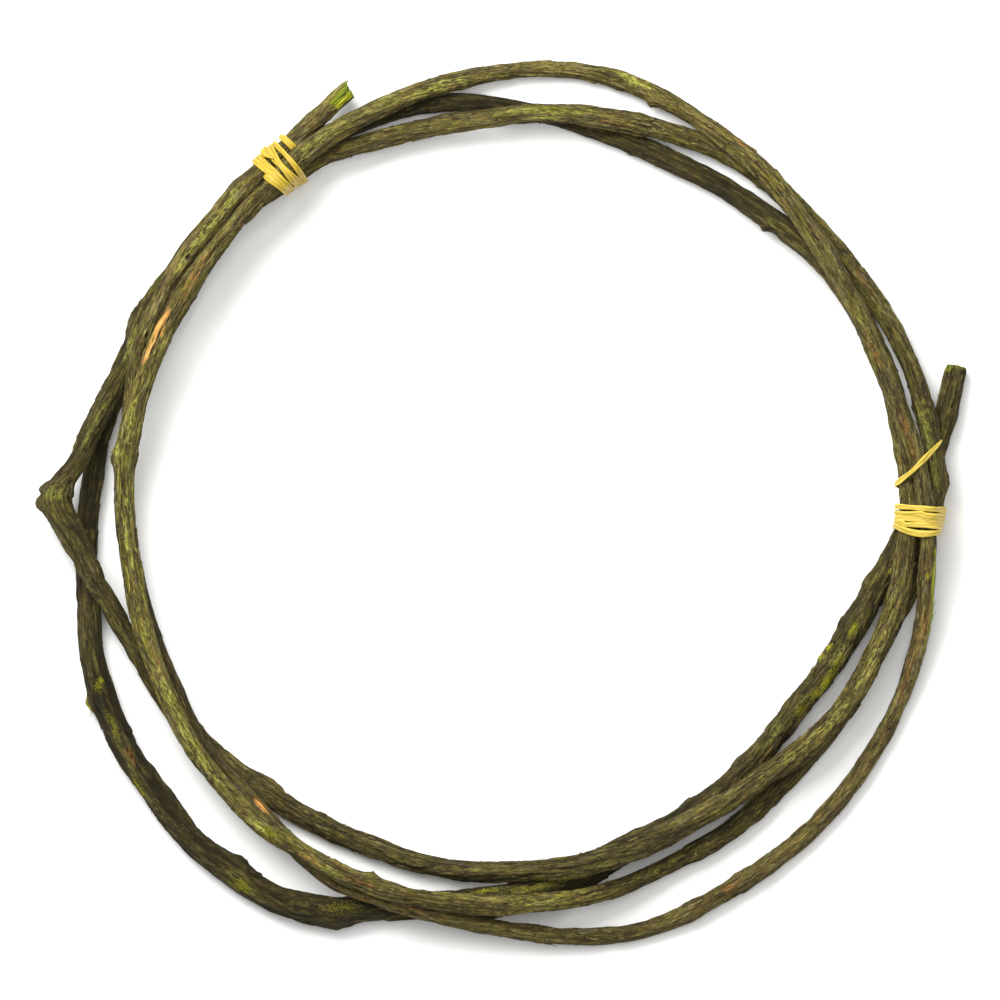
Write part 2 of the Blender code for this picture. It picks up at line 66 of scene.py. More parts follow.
# Each stretch has its level in the stack, then its coat: how green with lichen, how brown, how much darker,
# and how deeply fissured its bark is, from 0 to 1. The darkening is partly the bark's own tone and partly
# painted shade, strongest on the passes that lie under or beside others. Its points are x, y and thickness.
ROUTE = {
    "left 1": (2, (0.50, 0.45, 0.00, 0.55), (
        (-76.5, 204.5, 9.0), (-92.0, 190.0, 9.5), (-107.5, 175.5, 10.0), (-131.0, 153.5, 10.0),
        (-147.0, 134.5, 9.5), (-161.5, 115.0, 9.0), (-172.0, 95.5, 8.5), (-180.0, 75.0, 8.5),
        (-183.5, 55.0, 8.5), (-185.5, 30.0, 8.5), (-187.0, 0.0, 8.5), (-185.5, -20.0, 9.0),
    )),
    # Painted shade: beside the higher green turn this stretch gets a darker coat, which stands in for the
    # shade there.
    "left 1, beside the green turn": (2, (0.20, 0.70, 0.70, 0.60), (
        (-181.5, -40.0, 9.0), (-173.0, -70.0, 9.0), (-160.0, -100.0, 9.0), (-143.5, -130.0, 9.0),
    )),
    "bottom 1": (2, (0.25, 0.70, 0.22, 0.50), (
        (-128.5, -145.5, 9.0), (-117.0, -158.5, 9.0), (-104.5, -172.0, 9.0), (-84.0, -189.5, 9.0),
        (-60.0, -199.0, 9.0), (-30.0, -208.0, 9.0), (0.0, -214.5, 9.0), (30.0, -218.0, 9.0),
        (50.0, -218.0, 9.0), (70.0, -215.5, 9.0), (90.0, -208.5, 9.5), (110.0, -198.0, 10.0),
        (121.0, -191.5, 10.0), (140.0, -178.0, 9.5), (160.0, -160.5, 9.0),
    )),
    "right 1": (2, (0.15, 0.85, 0.00, 0.40), (
        (175.0, -143.0, 9.0), (190.0, -120.0, 9.0), (200.0, -100.0, 8.5), (207.0, -80.0, 9.0),
        (211.5, -60.0, 8.5), (213.0, -40.0, 9.0), (214.0, -20.0, 8.5), (212.5, 0.0, 9.0),
    )),
    "top 1": (3, (0.50, 0.50, 0.03, 0.65), (
        (208.5, 20.0, 9.0), (202.0, 40.0, 9.5), (194.0, 60.0, 10.0), (185.5, 80.0, 10.0),
        (175.0, 100.0, 10.0), (164.5, 120.0, 10.5), (151.0, 139.5, 10.0), (136.0, 159.0, 10.0),
        (119.0, 175.0, 10.0), (99.5, 190.0, 9.5), (79.5, 201.5, 9.5), (60.0, 210.0, 9.0),
        (40.0, 214.5, 8.5), (20.0, 215.5, 8.5), (0.0, 214.0, 8.5), (-20.0, 210.0, 9.5),
        (-40.0, 204.5, 10.0), (-60.0, 196.0, 10.0), (-80.0, 186.0, 10.5), (-100.0, 171.0, 11.0),
    )),
    "left 2": (3, (0.80, 0.35, 0.10, 0.75), (
        (-115.5, 155.0, 10.5), (-128.5, 142.0, 10.5), (-143.0, 124.5, 10.5), (-156.0, 105.0, 10.5),
        (-167.0, 85.0, 10.0), (-175.5, 65.0, 10.0), (-182.0, 45.0, 10.5), (-186.5, 20.0, 10.0),
        (-187.5, 0.0, 10.0), (-186.0, -20.0, 10.0), (-183.0, -40.0, 10.5), (-177.0, -70.0, 10.5),
        (-170.0, -90.0, 10.0), (-161.0, -110.0, 10.0), (-149.0, -130.0, 10.0),
    )),
    "bottom 2": (3, (0.70, 0.35, 0.12, 0.80), (
        (-132.0, -150.0, 9.5), (-117.0, -163.5, 10.0), (-100.0, -175.0, 10.0), (-80.0, -186.5, 10.5),
        (-60.0, -194.0, 10.5), (-40.0, -199.0, 9.5), (-20.0, -201.5, 10.5), (0.0, -202.5, 10.0),
        (20.0, -201.0, 9.5), (40.0, -199.0, 9.5),
    )),
    "right 2": (3, (0.50, 0.40, 0.30, 0.80), (
        (60.0, -193.0, 9.5), (80.0, -185.0, 10.0),
    )),
    "right 2, over the thick end": (1, (0.50, 0.45, 0.50, 0.75), (
        (100.0, -174.5, 10.5), (113.0, -167.0, 10.5), (130.0, -153.0, 10.5), (146.5, -136.5, 10.0),
        (166.0, -113.5, 10.0), (176.5, -97.5, 10.0), (195.5, -62.5, 10.0), (203.5, -47.5, 10.0),
        (210.5, -27.5, 10.0), (216.0, -7.5, 10.0), (218.0, 10.0, 10.0), (215.5, 30.0, 10.0),
        (211.0, 50.0, 10.0), (204.0, 70.0, 10.0),
    )),
    "top 2": (1, (0.50, 0.35, 0.15, 0.70), (
        (194.0, 90.0, 10.0), (179.5, 110.0, 10.5), (158.5, 135.5, 10.5), (145.0, 150.0, 10.5),
        (130.0, 162.5, 10.5), (110.0, 174.0, 10.0), (90.0, 182.0, 10.0), (70.0, 187.5, 10.5),
        (50.0, 191.0, 10.5), (30.0, 193.0, 10.0), (10.0, 193.0, 10.0), (-10.0, 190.5, 10.0),
        (-30.0, 187.5, 10.5), (-50.0, 183.0, 10.0), (-70.0, 177.5, 10.0), (-90.0, 171.0, 10.5),
        (-105.0, 161.5, 11.0),
    )),
    "left 3": (1, (0.60, 0.35, 0.62, 0.85), (
        (-122.0, 150.5, 11.0), (-138.5, 141.5, 11.0), (-150.5, 131.0, 11.0), (-161.0, 116.5, 11.5),
        (-171.5, 102.0, 11.5), (-183.5, 76.5, 12.0), (-192.5, 57.5, 11.0), (-203.0, 37.0, 11.0),
        (-213.0, 17.0, 11.0), (-219.0, 9.0, 12.5), (-222.0, 1.0, 15.0), (-219.5, -7.0, 14.0),
        (-215.0, -15.0, 13.0), (-206.0, -33.0, 12.0), (-196.5, -50.0, 11.0), (-185.0, -70.0, 10.5),
        (-173.0, -90.0, 10.5), (-158.0, -111.0, 11.0), (-144.5, -126.0, 11.5),
    )),
    "bottom 3": (1, (0.40, 0.30, 0.50, 0.90), (
        (-130.0, -138.0, 12.0), (-114.0, -148.5, 12.0), (-100.0, -157.0, 11.5), (-80.0, -167.0, 11.0),
        (-60.0, -175.0, 11.0), (-40.0, -181.5, 10.5), (-20.0, -185.0, 11.0), (0.0, -186.0, 11.0),
        (20.0, -185.0, 11.0), (40.0, -183.0, 12.0), (60.0, -176.0, 12.5), (80.0, -168.5, 12.5),
    )),
    "right 3": (2, (0.50, 0.45, 0.15, 0.80), (
        (100.0, -158.0, 11.5), (120.0, -147.0, 10.5), (136.0, -135.0, 11.0), (154.0, -122.0, 12.0),
        (172.5, -103.0, 11.0), (187.0, -77.5, 11.0), (198.0, -51.5, 11.0), (202.0, -30.0, 11.0),
        (204.0, -10.0, 11.0), (204.0, 10.0, 11.0), (201.5, 30.0, 11.0), (197.5, 50.0, 11.0),
        (190.5, 70.0, 11.0),
    )),
    "top 3": (2, (0.40, 0.50, 0.40, 0.50), (
        (181.0, 90.0, 11.0), (164.5, 116.0, 11.0),
    )),
    # Painted shade: where this stretch goes under the others, its darker coat stands in for their shade.
    "top 3, going under": (2, (0.35, 0.50, 0.86, 0.45), (
        (145.0, 133.5, 11.5), (130.0, 144.5, 11.5),
    )),
    "top 3, under the others": (0, (0.30, 0.45, 1.00, 0.50), (
        (110.0, 157.5, 11.0), (90.0, 167.5, 11.0), (70.0, 177.0, 11.0), (50.0, 184.5, 10.5),
        (30.0, 191.0, 10.0), (10.0, 195.0, 10.0), (-10.0, 198.0, 9.5), (-30.0, 198.5, 10.0),
        (-50.0, 195.0, 10.0), (-70.0, 189.0, 11.0), (-82.5, 183.5, 11.0), (-99.0, 177.0, 11.0),
        (-115.0, 164.5, 11.0), (-130.5, 146.5, 11.0),
    )),
    "left 4": (0, (0.30, 0.50, 1.00, 0.70), (
        (-143.0, 127.0, 11.0), (-155.0, 106.5, 11.0), (-167.5, 86.5, 11.0), (-182.0, 66.0, 11.0),
        (-194.0, 49.0, 11.0), (-200.0, 30.0, 11.0), (-204.0, 10.0, 11.0), (-206.0, -10.0, 10.5),
        (-207.0, -30.0, 11.0), (-206.0, -50.0, 11.5), (-203.5, -80.0, 12.5), (-198.0, -100.0, 13.5),
        (-192.0, -114.5, 14.0), (-182.0, -132.5, 13.5), (-170.5, -149.0, 14.0),
    )),
    "bottom 4": (0, (0.30, 0.55, 1.00, 0.70), (
        (-154.0, -170.0, 13.0), (-134.5, -185.5, 13.5), (-112.5, -199.5, 13.5), (-101.0, -203.0, 14.5),
        (-82.0, -205.5, 14.5), (-60.0, -203.5, 13.5), (-30.0, -201.5, 14.0), (0.0, -200.5, 15.5),
        (20.0, -196.0, 14.5), (40.0, -188.5, 14.0), (62.5, -175.0, 14.0), (83.5, -165.0, 14.0),
        (103.5, -153.0, 13.0),
    )),
    "right 4": (0, (0.45, 0.50, 0.64, 0.95), (
        (120.0, -138.0, 12.5), (134.5, -122.0, 12.0), (144.5, -109.0, 12.0), (161.0, -89.0, 13.5),
        (176.5, -64.5, 13.5), (188.5, -43.5, 12.5), (199.0, -24.0, 12.0), (205.5, -10.0, 11.5),
        (213.0, 10.0, 11.0), (219.5, 30.0, 11.0), (224.5, 50.0, 11.0), (228.5, 67.0, 10.5),
    )),
}

# Places on the bark are given by their stretch and by x and y where the ring is looked down on. A knot
# then has how far it stands out and how long it is along the stem. A notch between two knots stands in.
KNOTS = (
    ("left 2", -194.0, 22.5, 2.3, 6.5),
    ("left 3", -185.5, 92.0, 1.8, 9.0),
    ("left 3", -229.5, 7.0, 1.8, 2.3),
    ("left 3", -232.5, -1.2, 2.6, 2.4),
    ("left 3", -231.0, 2.6, -1.3, 0.8),
    ("left 3", -222.0, 2.5, 1.0, 6.0),
    ("left 3", -213.5, 3.0, 1.6, 6.0),
    ("left 4", -204.8, -102.5, 2.0, 3.2),
    ("left 4", -184.0, -115.0, 0.6, 4.5),
    ("bottom 4", -127.5, -180.5, 1.6, 5.5),
    ("bottom 4", -102.0, -203.0, 1.6, 9.0),
    ("bottom 4", -82.5, -213.5, 1.4, 6.0),
    ("bottom 3", -113.5, -138.5, 2.4, 9.0),
    ("bottom 2", -64.0, -186.0, 1.0, 4.0),
    ("bottom 3", 60.0, -168.5, 1.2, 8.0),
    ("right 2, over the thick end", 103.0, -173.0, 1.2, 5.0),
    ("bottom 1", 117.5, -186.5, 1.2, 5.0),
    ("bottom 4", 94.0, -149.5, 1.2, 5.0),
    ("right 4", 117.5, -128.5, 1.0, 5.0),
    ("right 4", 171.5, -58.0, 0.9, 6.0),
    ("right 4", 183.0, -39.5, 0.9, 5.0),
    ("top 3, going under", 132.5, 135.8, 1.8, 2.2),
    ("top 1", 76.0, 197.5, 1.5, 2.4),
    ("right 2, over the thick end", 223.5, 8.5, 1.4, 5.0),
    ("right 1", 213.5, -36.0, 1.2, 5.0),
)
# A ledge is where a plate of bark has lifted at its end. It has how high it stands and how far it runs out to
# nothing, which is negative where it runs back towards the thin tip.
LEDGES = (
    ("top 1", 49.0, 208.0, 0.9, 5.0), ("top 1", 76.5, 198.5, 1.0, 7.0), ("top 1", 128.0, 175.0, 0.9, 6.0),
    ("top 1", 138.0, 164.5, 0.8, -6.0), ("bottom 2", -64.0, -186.0, 1.0, 5.0),
    ("bottom 1", 122.0, -197.0, 0.7, 6.0), ("left 4", -184.5, -115.5, 0.9, -6.0),
    ("bottom 4", -127.0, -181.0, 1.2, -9.0), ("bottom 4", -119.0, -188.5, 1.0, -8.0),
    ("left 4", -206.0, -102.5, 1.0, -7.0), ("bottom 4", 94.0, -149.0, 0.7, -8.0),
    ("left 2", -151.5, 101.5, 0.7, 7.0), ("left 2", -157.0, 93.5, 0.7, 5.0),
    ("left 3", -179.0, 97.5, 1.0, -5.0),
    ("right 1", 195.0, -112.5, 0.6, 6.0), ("right 1", 202.5, -95.0, 0.6, 6.0),
    ("bottom 3", -90.0, -156.0, 0.8, 8.0),
)
# A node is the ring where a leaf grew. It has how far it stands out and how long it is.
NODES = (
    ("top 2", 70.0, 189.0, 0.35, 3.0), ("right 2, over the thick end", 213.5, 47.5, 0.6, 1.8),
    ("right 2, over the thick end", 215.0, 40.0, 0.4, 1.8), ("left 2", -189.0, 21.0, 0.6, 4.0),
    ("top 1", 60.0, 210.0, 0.4, 4.0), ("right 3", 172.5, -103.0, 0.4, 5.0), ("top 1", 2.0, 214.0, 0.25, 3.0),
    ("bottom 1", 20.0, -217.5, 0.25, 4.0), ("bottom 1", 96.0, -206.0, 0.25, 4.0),
    ("right 1", 193.0, -115.0, 0.25, 3.0), ("right 1", 211.0, -63.0, 0.25, 3.0),
    ("bottom 2", 0.0, -202.5, 0.25, 4.0), ("bottom 4", -55.0, -203.5, 0.4, 5.0),
    ("right 3", 148.0, -126.0, 0.4, 4.0), ("right 3", 196.0, -57.0, 0.6, 5.0),
)


def read_route():
    """The route's points as rows of x, y, radius, level and
    the four shares of the coat, and each stretch's span."""
    rows = []
    spans = {}
    levels = [level for level, _, _ in ROUTE.values()] + [0]
    for (name, (level, coat, points)), level_after in zip(ROUTE.items(), levels[1:]):
        for place, (x, y, thickness) in enumerate(points):
            share = place / len(points)
            level_here = level + (level_after - level) * share
            rows.append((x - MIDDLE[0], y - MIDDLE[1], thickness / 2, level_here, *coat))
        spans[name] = (len(rows) - len(points), len(rows))
    return np.array(rows), spans


def smooth(rows, step):
    """Rows at an even step along a smooth curve through the given rows, and how far along each one lies.

    Between two rows the curve is a cubic, whose slope at each row comes from the rows before and after it.
    """
    along = np.concatenate([[0.0], np.cumsum(np.hypot(*np.diff(rows[:, :2], axis=0).T))])
    slope = np.gradient(rows, along, axis=0)
    places = np.linspace(0.0, along[-1], round(along[-1] / step) + 1)
    k = np.clip(np.searchsorted(along, places, side="right") - 1, 0, len(rows) - 2)
    span = (along[k + 1] - along[k])[:, None]
    t = (places - along[k])[:, None] / span
    curve = rows[k] * (1 + 2 * t) * (1 - t) ** 2 + rows[k + 1] * (3 - 2 * t) * t**2
    curve += span * (slope[k] * t * (1 - t) ** 2 - slope[k + 1] * (1 - t) * t**2)
    return curve, places


def settle(route):
    """The height of the stem's middle at each place, once the stem lies on the table and on itself.

    Two passes whose circles would overlap, looked down on, need a height between them that closes the
    triangle of their radii and their distance. The stiff stem sinks a little in each round and is lifted off
    what is under it, and it sinks less and less, which leaves smooth humps.
    """
    x, y, radius, level = route.T[:4]
    count = len(route)
    apart = np.hypot(x[:, None] - x, y[:, None] - y)
    reach = radius[:, None] + radius + TOUCH_GAP
    order = np.arange(count)
    two_passes = np.abs(order[:, None] - order) * ROUTE_STEP > SELF_REACH
    upper, lower = np.nonzero((apart < reach) & two_passes & (level[:, None] > level))
    rise = np.sqrt(reach[upper, lower] ** 2 - apart[upper, lower] ** 2)
    floor = radius.copy()
    for middle in (LEFT_TIE_MIDDLE, RIGHT_TIE_MIDDLE):
        at_tie = np.hypot(x - middle[0] + MIDDLE[0], y - middle[1] + MIDDLE[1]) < TIE_REACH
        floor[at_tie] = radius[at_tie] + RAFFIA_ROOM
    bend = np.diff(np.eye(count), 2, axis=0)
    stiff = np.linalg.inv(np.eye(count) + STIFFNESS * bend.T @ bend)
    height = floor + level * radius
    for settled in range(ROUNDS):
        height = np.maximum(stiff @ height - DROP * (1 - settled / ROUNDS), floor)
        for _ in range(DEEPEST_STACK):
            np.maximum.at(height, upper, height[lower] + rise)
    return height


RING_STEP = 1.1  # along the stem, so that a furrow's end and a cross crack keep their edges
SIDES = 80

route_points, spans = read_route()
route, route_places = smooth(route_points, ROUTE_STEP)
height = settle(route)
stem_rows, stem_places = smooth(route_points, RING_STEP)
stem_middle = np.column_stack([stem_rows[:, :2], np.interp(stem_places, route_places, height)])
stem_radius = stem_rows[:, 2]
stem_coat = np.clip(stem_rows[:, 4:8], 0.0, 1.0)
tangent = np.gradient(stem_middle, stem_places, axis=0)
tangent /= np.linalg.norm(tangent, axis=1)[:, None]
rightward = np.column_stack([tangent[:, 1], -tangent[:, 0], np.zeros(len(tangent))])
rightward /= np.linalg.norm(rightward, axis=1)[:, None]
upward = np.cross(rightward, tangent)


def on_bark(stretch, x, y):
    """Where a place on the bark is: how far along the stem, and its angle round it, 90 degrees being its top.

    The offset from the stem's middle line, as a share of its radius, is the cosine of the angle.
    """
    first, last = spans[stretch]
    point_places = np.concatenate([[0.0], np.cumsum(np.hypot(*np.diff(route_points[:, :2], axis=0).T))])
    inside = (stem_places >= point_places[first]) & (stem_places <= point_places[last - 1] + RING_STEP)
    offset = np.array([x - MIDDLE[0], y - MIDDLE[1]]) - stem_middle[:, :2]
    k = int(np.argmin(np.where(inside, np.hypot(*offset.T), np.inf)))
    share = np.clip(offset[k] @ rightward[k, :2] / stem_radius[k], -1, 1)
    return stem_places[k], math.acos(share)


def value_noise(u, v, around, seed):
    """Smooth random values from -1 to 1. Whole places (u, v) have hashed values,
    joined by smooth steps, and v comes round again after `around` cells."""
    i, j = np.floor(u).astype(np.int64), np.floor(v).astype(np.int64)

    def at(i, j):
        mixed = (i * 374761393 + (j % around) * 668265263 + seed * 1442695041) & 0xFFFFFFFF
        mixed = ((mixed ^ (mixed >> 13)) * 1274126177) & 0xFFFFFFFF
        return ((mixed ^ (mixed >> 16)) & 0xFFFF) / 32767.5 - 1.0

    s, t = u - i, v - j
    s, t = s * s * (3 - 2 * s), t * t * (3 - 2 * t)
    near = at(i, j) * (1 - t) + at(i, j + 1) * t
    far = at(i + 1, j) * (1 - t) + at(i + 1, j + 1) * t
    return near * (1 - s) + far * s


def bark_relief(along, turn, radius, fissured):
    """How far the bark stands out, and how much painted shade each place gets for lying deep in a furrow,
    groove, cross crack or flute, from 0 to 1.

    Slow swells and lumps and long shallow flutes carry ridges, parted by furrows where a drawn-out noise
    passes through zero. Cross cracks part each ridge into plates, whose ends and heights are hashed from the
    ridge's number, and fine fibres run along.
    """
    drift = value_noise(along / 70, turn * 0, 1, 3) * 1.3
    swell = (0.32 * value_noise(along / 24, turn * 2, 2, 1)
             + 0.34 * value_noise(along / 8, turn * 5 + drift, 5, 2))
    flute = np.clip(-2.2 * value_noise(along / 45, turn * 4 + drift, 4, 15) - 0.3, 0, 1)
    wide = value_noise(along / 20, turn * 14 + 2 * drift, 14, 4)
    narrow = value_noise(along / 12, turn * 26 + 3 * drift, 26, 5)
    furrow = np.exp(-((wide / 0.22) ** 2))
    groove = np.exp(-((narrow / 0.24) ** 2))
    ridge = np.floor(turn * 14 + 2 * drift).astype(np.int64)
    spot = along / 11.0 + 9.7 * np.sin(ridge * 12.9) + 0.25 * value_noise(along / 3, turn * 30, 30, 6)
    from_crack = np.abs(spot - np.round(spot)) * 11.0
    some = value_noise(np.round(spot) + 0.5, ridge * 1.0, 14, 7) > 0.0
    crack = np.exp(-((from_crack / 0.55) ** 2)) * some
    plate = 0.18 * value_noise(np.floor(spot), ridge * 1.0, 14, 12)
    fibre = 0.15 * value_noise(along / 6, turn * 36 + 4 * drift, 36, 8)
    grain = 0.09 * value_noise(along / 1.6, turn * 40, 40, 9)
    deep = fissured * (0.70 * furrow + 0.34 * groove + 0.26 * crack * (1 - furrow) - plate * (1 - furrow))
    deep += (0.3 + 0.5 * fissured) * flute
    relief = 0.14 * (radius - 5.6) + 0.18 + (swell - deep + fibre + grain) * radius / 5.0
    # Painted shade: this share darkens the bark in its furrows, grooves, cross cracks and flutes, where shade
    # falls.
    crevice_shade = np.maximum.reduce([furrow, 0.6 * groove, 0.5 * crack]) * fissured
    return relief, np.clip(np.maximum(crevice_shade, 0.4 * flute), 0, 1)


def near_bark(along, angle, radius, place, place_angle):
    """How far a point of the bark is from a place on it: along the stem, and round it."""
    turned = (angle - place_angle + math.pi) % (2 * math.pi) - math.pi
    return along - place, radius * turned


def shaped_bark(along, angle, radius, fissured):
    """The bark's relief with its knots, ledges and nodes, and the share of painted shade in its furrows and
    cracks and round each node.

    A knot is a craggy dome that falls off as a bell curve, a ledge is a ramp that ends
    at a step, and a node is a ring that falls off as a bell curve along the stem.
    """
    turn = (angle / (2 * math.pi)) % 1.0
    relief, crevice_shade = bark_relief(along, turn, radius, fissured)
    crags = value_noise(along / 1.8, turn * 20, 20, 11)
    for stretch, x, y, rise, length in KNOTS:
        ahead, aside = near_bark(along, angle, radius, *on_bark(stretch, x, y))
        dome = np.exp(-((ahead / length) ** 2)) * np.clip(np.cos(aside / radius), 0, 1) ** 3
        relief += rise * dome * (1 + 0.18 * crags) + 0.22 * dome * crags
    for stretch, x, y, rise, length in LEDGES:
        ahead, aside = near_bark(along, angle, radius, *on_bark(stretch, x, y))
        ramp = ahead / length + 0.15 * crags
        step = np.where(ramp > 0, np.clip(1 - ramp, 0, 1), np.clip(1 + 12 * ramp, 0, 1))
        relief += rise * step * np.exp(-((aside / 2.6) ** 2))
    for stretch, x, y, rise, length in NODES:
        ahead = along - on_bark(stretch, x, y)[0] + 0.9 * value_noise(along / 9, turn * 5, 5, 13)
        relief += rise * np.exp(-((ahead / length) ** 2)) * (1 + 0.7 * crags)
        # Painted shade: a darker ring on each side of a node, at the foot of its swell.
        node_ring_shade = np.clip(0.3 + crags, 0, 1) * min(rise, 0.7)
        crevice_shade = np.maximum(crevice_shade, node_ring_shade * np.exp(-(((np.abs(ahead) - length) / 0.6) ** 2)))
    return relief, crevice_shade


# Marks on the bark. Each has its stretch, x, y, half its length and half its width, and how strong it is.
# Bare wood shows where the bark was knocked off, and rust where only its skin was.
BARE_WOOD = (
    ("left 2", -167.0, 93.0, 3.6, 1.7, 1.0), ("left 2", -169.8, 87.5, 4.5, 1.7, 1.0),
    ("left 2", -172.6, 81.0, 6.0, 1.2, 1.0), ("left 2", -175.8, 73.8, 4.5, 1.3, 1.0),
    ("left 2", -168.0, 85.0, 2.5, 0.6, 0.8), ("bottom 1", -119.0, -152.5, 4.2, 1.6, 1.0),
)
RUST = (
    ("top 1", 120.0, 179.0, 3.0, 1.2, 0.8), ("top 1", 142.0, 148.5, 3.0, 1.0, 0.6),
    ("top 1", 186.5, 75.0, 6.0, 1.6, 0.8), ("top 1", 201.5, 40.0, 7.0, 1.4, 0.8),
    ("top 2", 54.0, 189.0, 5.0, 1.0, 0.6), ("top 2", 181.5, 110.0, 7.0, 1.2, 0.6),
    ("left 2", -146.5, 122.0, 6.0, 1.1, 0.9), ("left 2", -151.5, 113.5, 7.0, 1.2, 1.0),
    ("left 2", -155.0, 105.5, 6.0, 1.0, 0.9), ("left 2", -171.5, -79.0, 5.0, 1.0, 0.8),
    ("bottom 2", -95.0, -179.5, 6.0, 1.3, 0.8), ("bottom 2", -69.5, -191.0, 6.0, 1.4, 0.7),
    ("left 4", -185.0, -127.5, 4.0, 1.3, 0.8), ("right 1", 211.5, -62.0, 9.0, 2.2, 0.5),
    ("right 1", 203.0, -88.0, 10.0, 1.8, 0.4), ("bottom 1", 115.0, -193.0, 5.0, 1.3, 0.6),
    ("right 3", 204.5, -10.0, 6.0, 1.2, 0.5), ("top 1", 207.0, 24.0, 8.0, 1.2, 0.6),
    ("bottom 1", -45.0, -203.0, 6.0, 1.2, 0.5), ("right 4", 134.0, -127.0, 4.0, 1.2, 0.6),
    ("left 3", -231.2, -0.7, 1.3, 1.2, 1.0), ("left 3", -213.0, -35.0, 3.0, 1.2, 0.7),
)
LICHEN = (
    ("top 1", -32.5, 205.5, 9.0, 2.5, 0.9), ("top 1", 65.5, 210.0, 8.0, 2.2, 1.0),
    ("top 1", -90.0, 181.0, 12.0, 2.6, 0.7), ("top 1", -60.0, 198.5, 10.0, 2.0, 0.5),
    ("top 2", 21.0, 195.0, 15.0, 1.6, 0.8), ("top 2", 24.0, 191.5, 6.0, 1.5, 0.8),
    ("right 2, over the thick end", 213.0, 35.0, 9.0, 3.0, 0.9),
    ("right 2, over the thick end", 217.0, 12.0, 12.0, 2.0, 0.6),
    ("left 1", -136.0, 148.5, 9.0, 1.8, 0.9), ("left 1", -149.0, 132.0, 10.0, 1.6, 0.9),
    ("left 1", -158.0, 119.5, 9.0, 1.4, 0.7), ("left 3", -182.5, 82.0, 11.0, 2.2, 0.9),
    ("left 3", -203.0, 38.0, 12.0, 2.0, 0.6), ("left 2", -172.0, 66.0, 12.0, 1.8, 0.6),
    ("left 2", -183.5, 40.0, 9.0, 2.4, 0.9), ("left 2", -185.5, 10.0, 14.0, 1.6, 0.6),
    ("left 2", -186.0, -20.0, 14.0, 1.6, 0.7), ("left 2", -176.5, -68.0, 9.0, 2.0, 0.45),
    ("left 2", -166.0, -97.0, 12.0, 2.0, 1.0), ("left 2", -154.5, -120.0, 12.0, 2.2, 1.0),
    ("left 2", -145.0, -134.5, 10.0, 2.2, 0.9), ("bottom 2", -118.0, -165.0, 6.0, 2.0, 1.0),
    ("bottom 2", -90.0, -182.5, 9.0, 1.6, 0.6), ("bottom 2", 20.0, -201.0, 10.0, 1.5, 0.5),
    ("left 4", -203.5, -83.0, 7.0, 2.4, 0.6), ("left 4", -197.0, -107.0, 8.0, 2.0, 0.7),
    ("left 4", -192.5, -118.0, 10.0, 1.5, 0.6), ("left 4", -188.0, -128.0, 8.0, 1.5, 0.7),
    ("bottom 4", -129.0, -192.5, 7.0, 2.0, 0.8), ("bottom 4", 12.0, -195.5, 22.0, 2.5, 0.7),
    ("right 4", 176.5, -64.0, 5.0, 1.6, 1.0), ("right 4", 168.5, -78.0, 8.0, 2.6, 0.9),
    ("right 4", 163.0, -93.0, 9.0, 2.4, 1.0), ("right 4", 151.0, -101.0, 8.0, 2.0, 0.6),
    ("right 4", 137.5, -117.0, 12.0, 2.0, 0.6), ("right 3", 184.0, -84.0, 10.0, 2.0, 0.6),
    ("right 3", 164.0, -112.0, 12.0, 2.6, 0.6), ("right 3", 145.0, -128.5, 12.0, 2.0, 0.6),
    ("right 2", 92.0, -178.0, 12.0, 1.4, 0.7), ("top 1", 182.0, 88.0, 12.0, 1.6, 0.5),
    ("top 3, under the others", 40.0, 188.0, 12.0, 1.6, 0.4), ("left 3", -222.5, 3.0, 5.0, 4.0, 0.9),
    ("left 4", -204.3, -102.5, 4.0, 1.6, 1.0), ("right 4", 165.3, -73.9, 2.0, 1.3, 1.0),
    ("right 4", 160.5, -79.5, 2.6, 1.2, 1.0), ("left 2", -190.0, 24.0, 4.0, 1.8, 0.9),
    ("left 3", -208.0, 29.0, 4.0, 2.0, 0.5), ("top 3, going under", 137.0, 138.0, 3.0, 0.9, 0.8),
)
# The bare strip along the outer edge of the thin stem at the right shows its green under-bark.
GREEN_UNDER_BARK = (
    ("right 1", 217.0, -38.0, 10.0, 1.3, 1.0), ("right 1", 216.5, -50.0, 12.0, 1.2, 1.0),
    ("right 1", 213.5, -36.0, 0.9, 0.7, 1.0), ("right 1", 215.5, -60.0, 6.0, 0.9, 0.8),
)
# The holes are where borers came out or a thorn fell out, and the clefts beside two knots. They are painted
# nearly black, as painted shade inside them.
HOLES = (
    ("left 1", -155.7, 121.2, 1.3, 1.1, 1.0), ("left 1", -176.0, 82.5, 1.3, 1.0, 1.0),
    ("top 1", -98.5, 168.0, 0.9, 0.7, 1.0), ("right 4", 166.8, -71.3, 1.4, 1.3, 1.0),
    ("bottom 4", -121.5, -188.5, 1.2, 1.0, 0.8), ("left 4", -201.3, -104.5, 3.2, 0.6, 0.9),
    ("left 3", -231.0, 2.8, 0.6, 2.0, 0.8), ("left 2", -192.3, 19.4, 0.7, 0.6, 0.7),
    ("right 4", 225.6, 65.4, 1.9, 0.4, 1.0),
)


def marked(along, angle, radius, marks, ragged):
    """How much of a kind of mark each place of the bark has: a soft oval round each mark, frayed by noise."""
    share = np.zeros(np.broadcast(along, angle).shape)
    turn = (angle / (2 * math.pi)) % 1.0
    fray = value_noise(along / 3.2, turn * 22, 22, 21) + 0.7 * value_noise(along / 1.3, turn * 40, 40, 22)
    for stretch, x, y, half_length, half_width, strength in marks:
        ahead, aside = near_bark(along, angle, radius, *on_bark(stretch, x, y))
        oval = np.hypot(ahead / half_length, aside / half_width)
        share = np.maximum(share, strength * np.clip(1.6 - 1.1 * oval + ragged * fray, 0, 1))
    return share


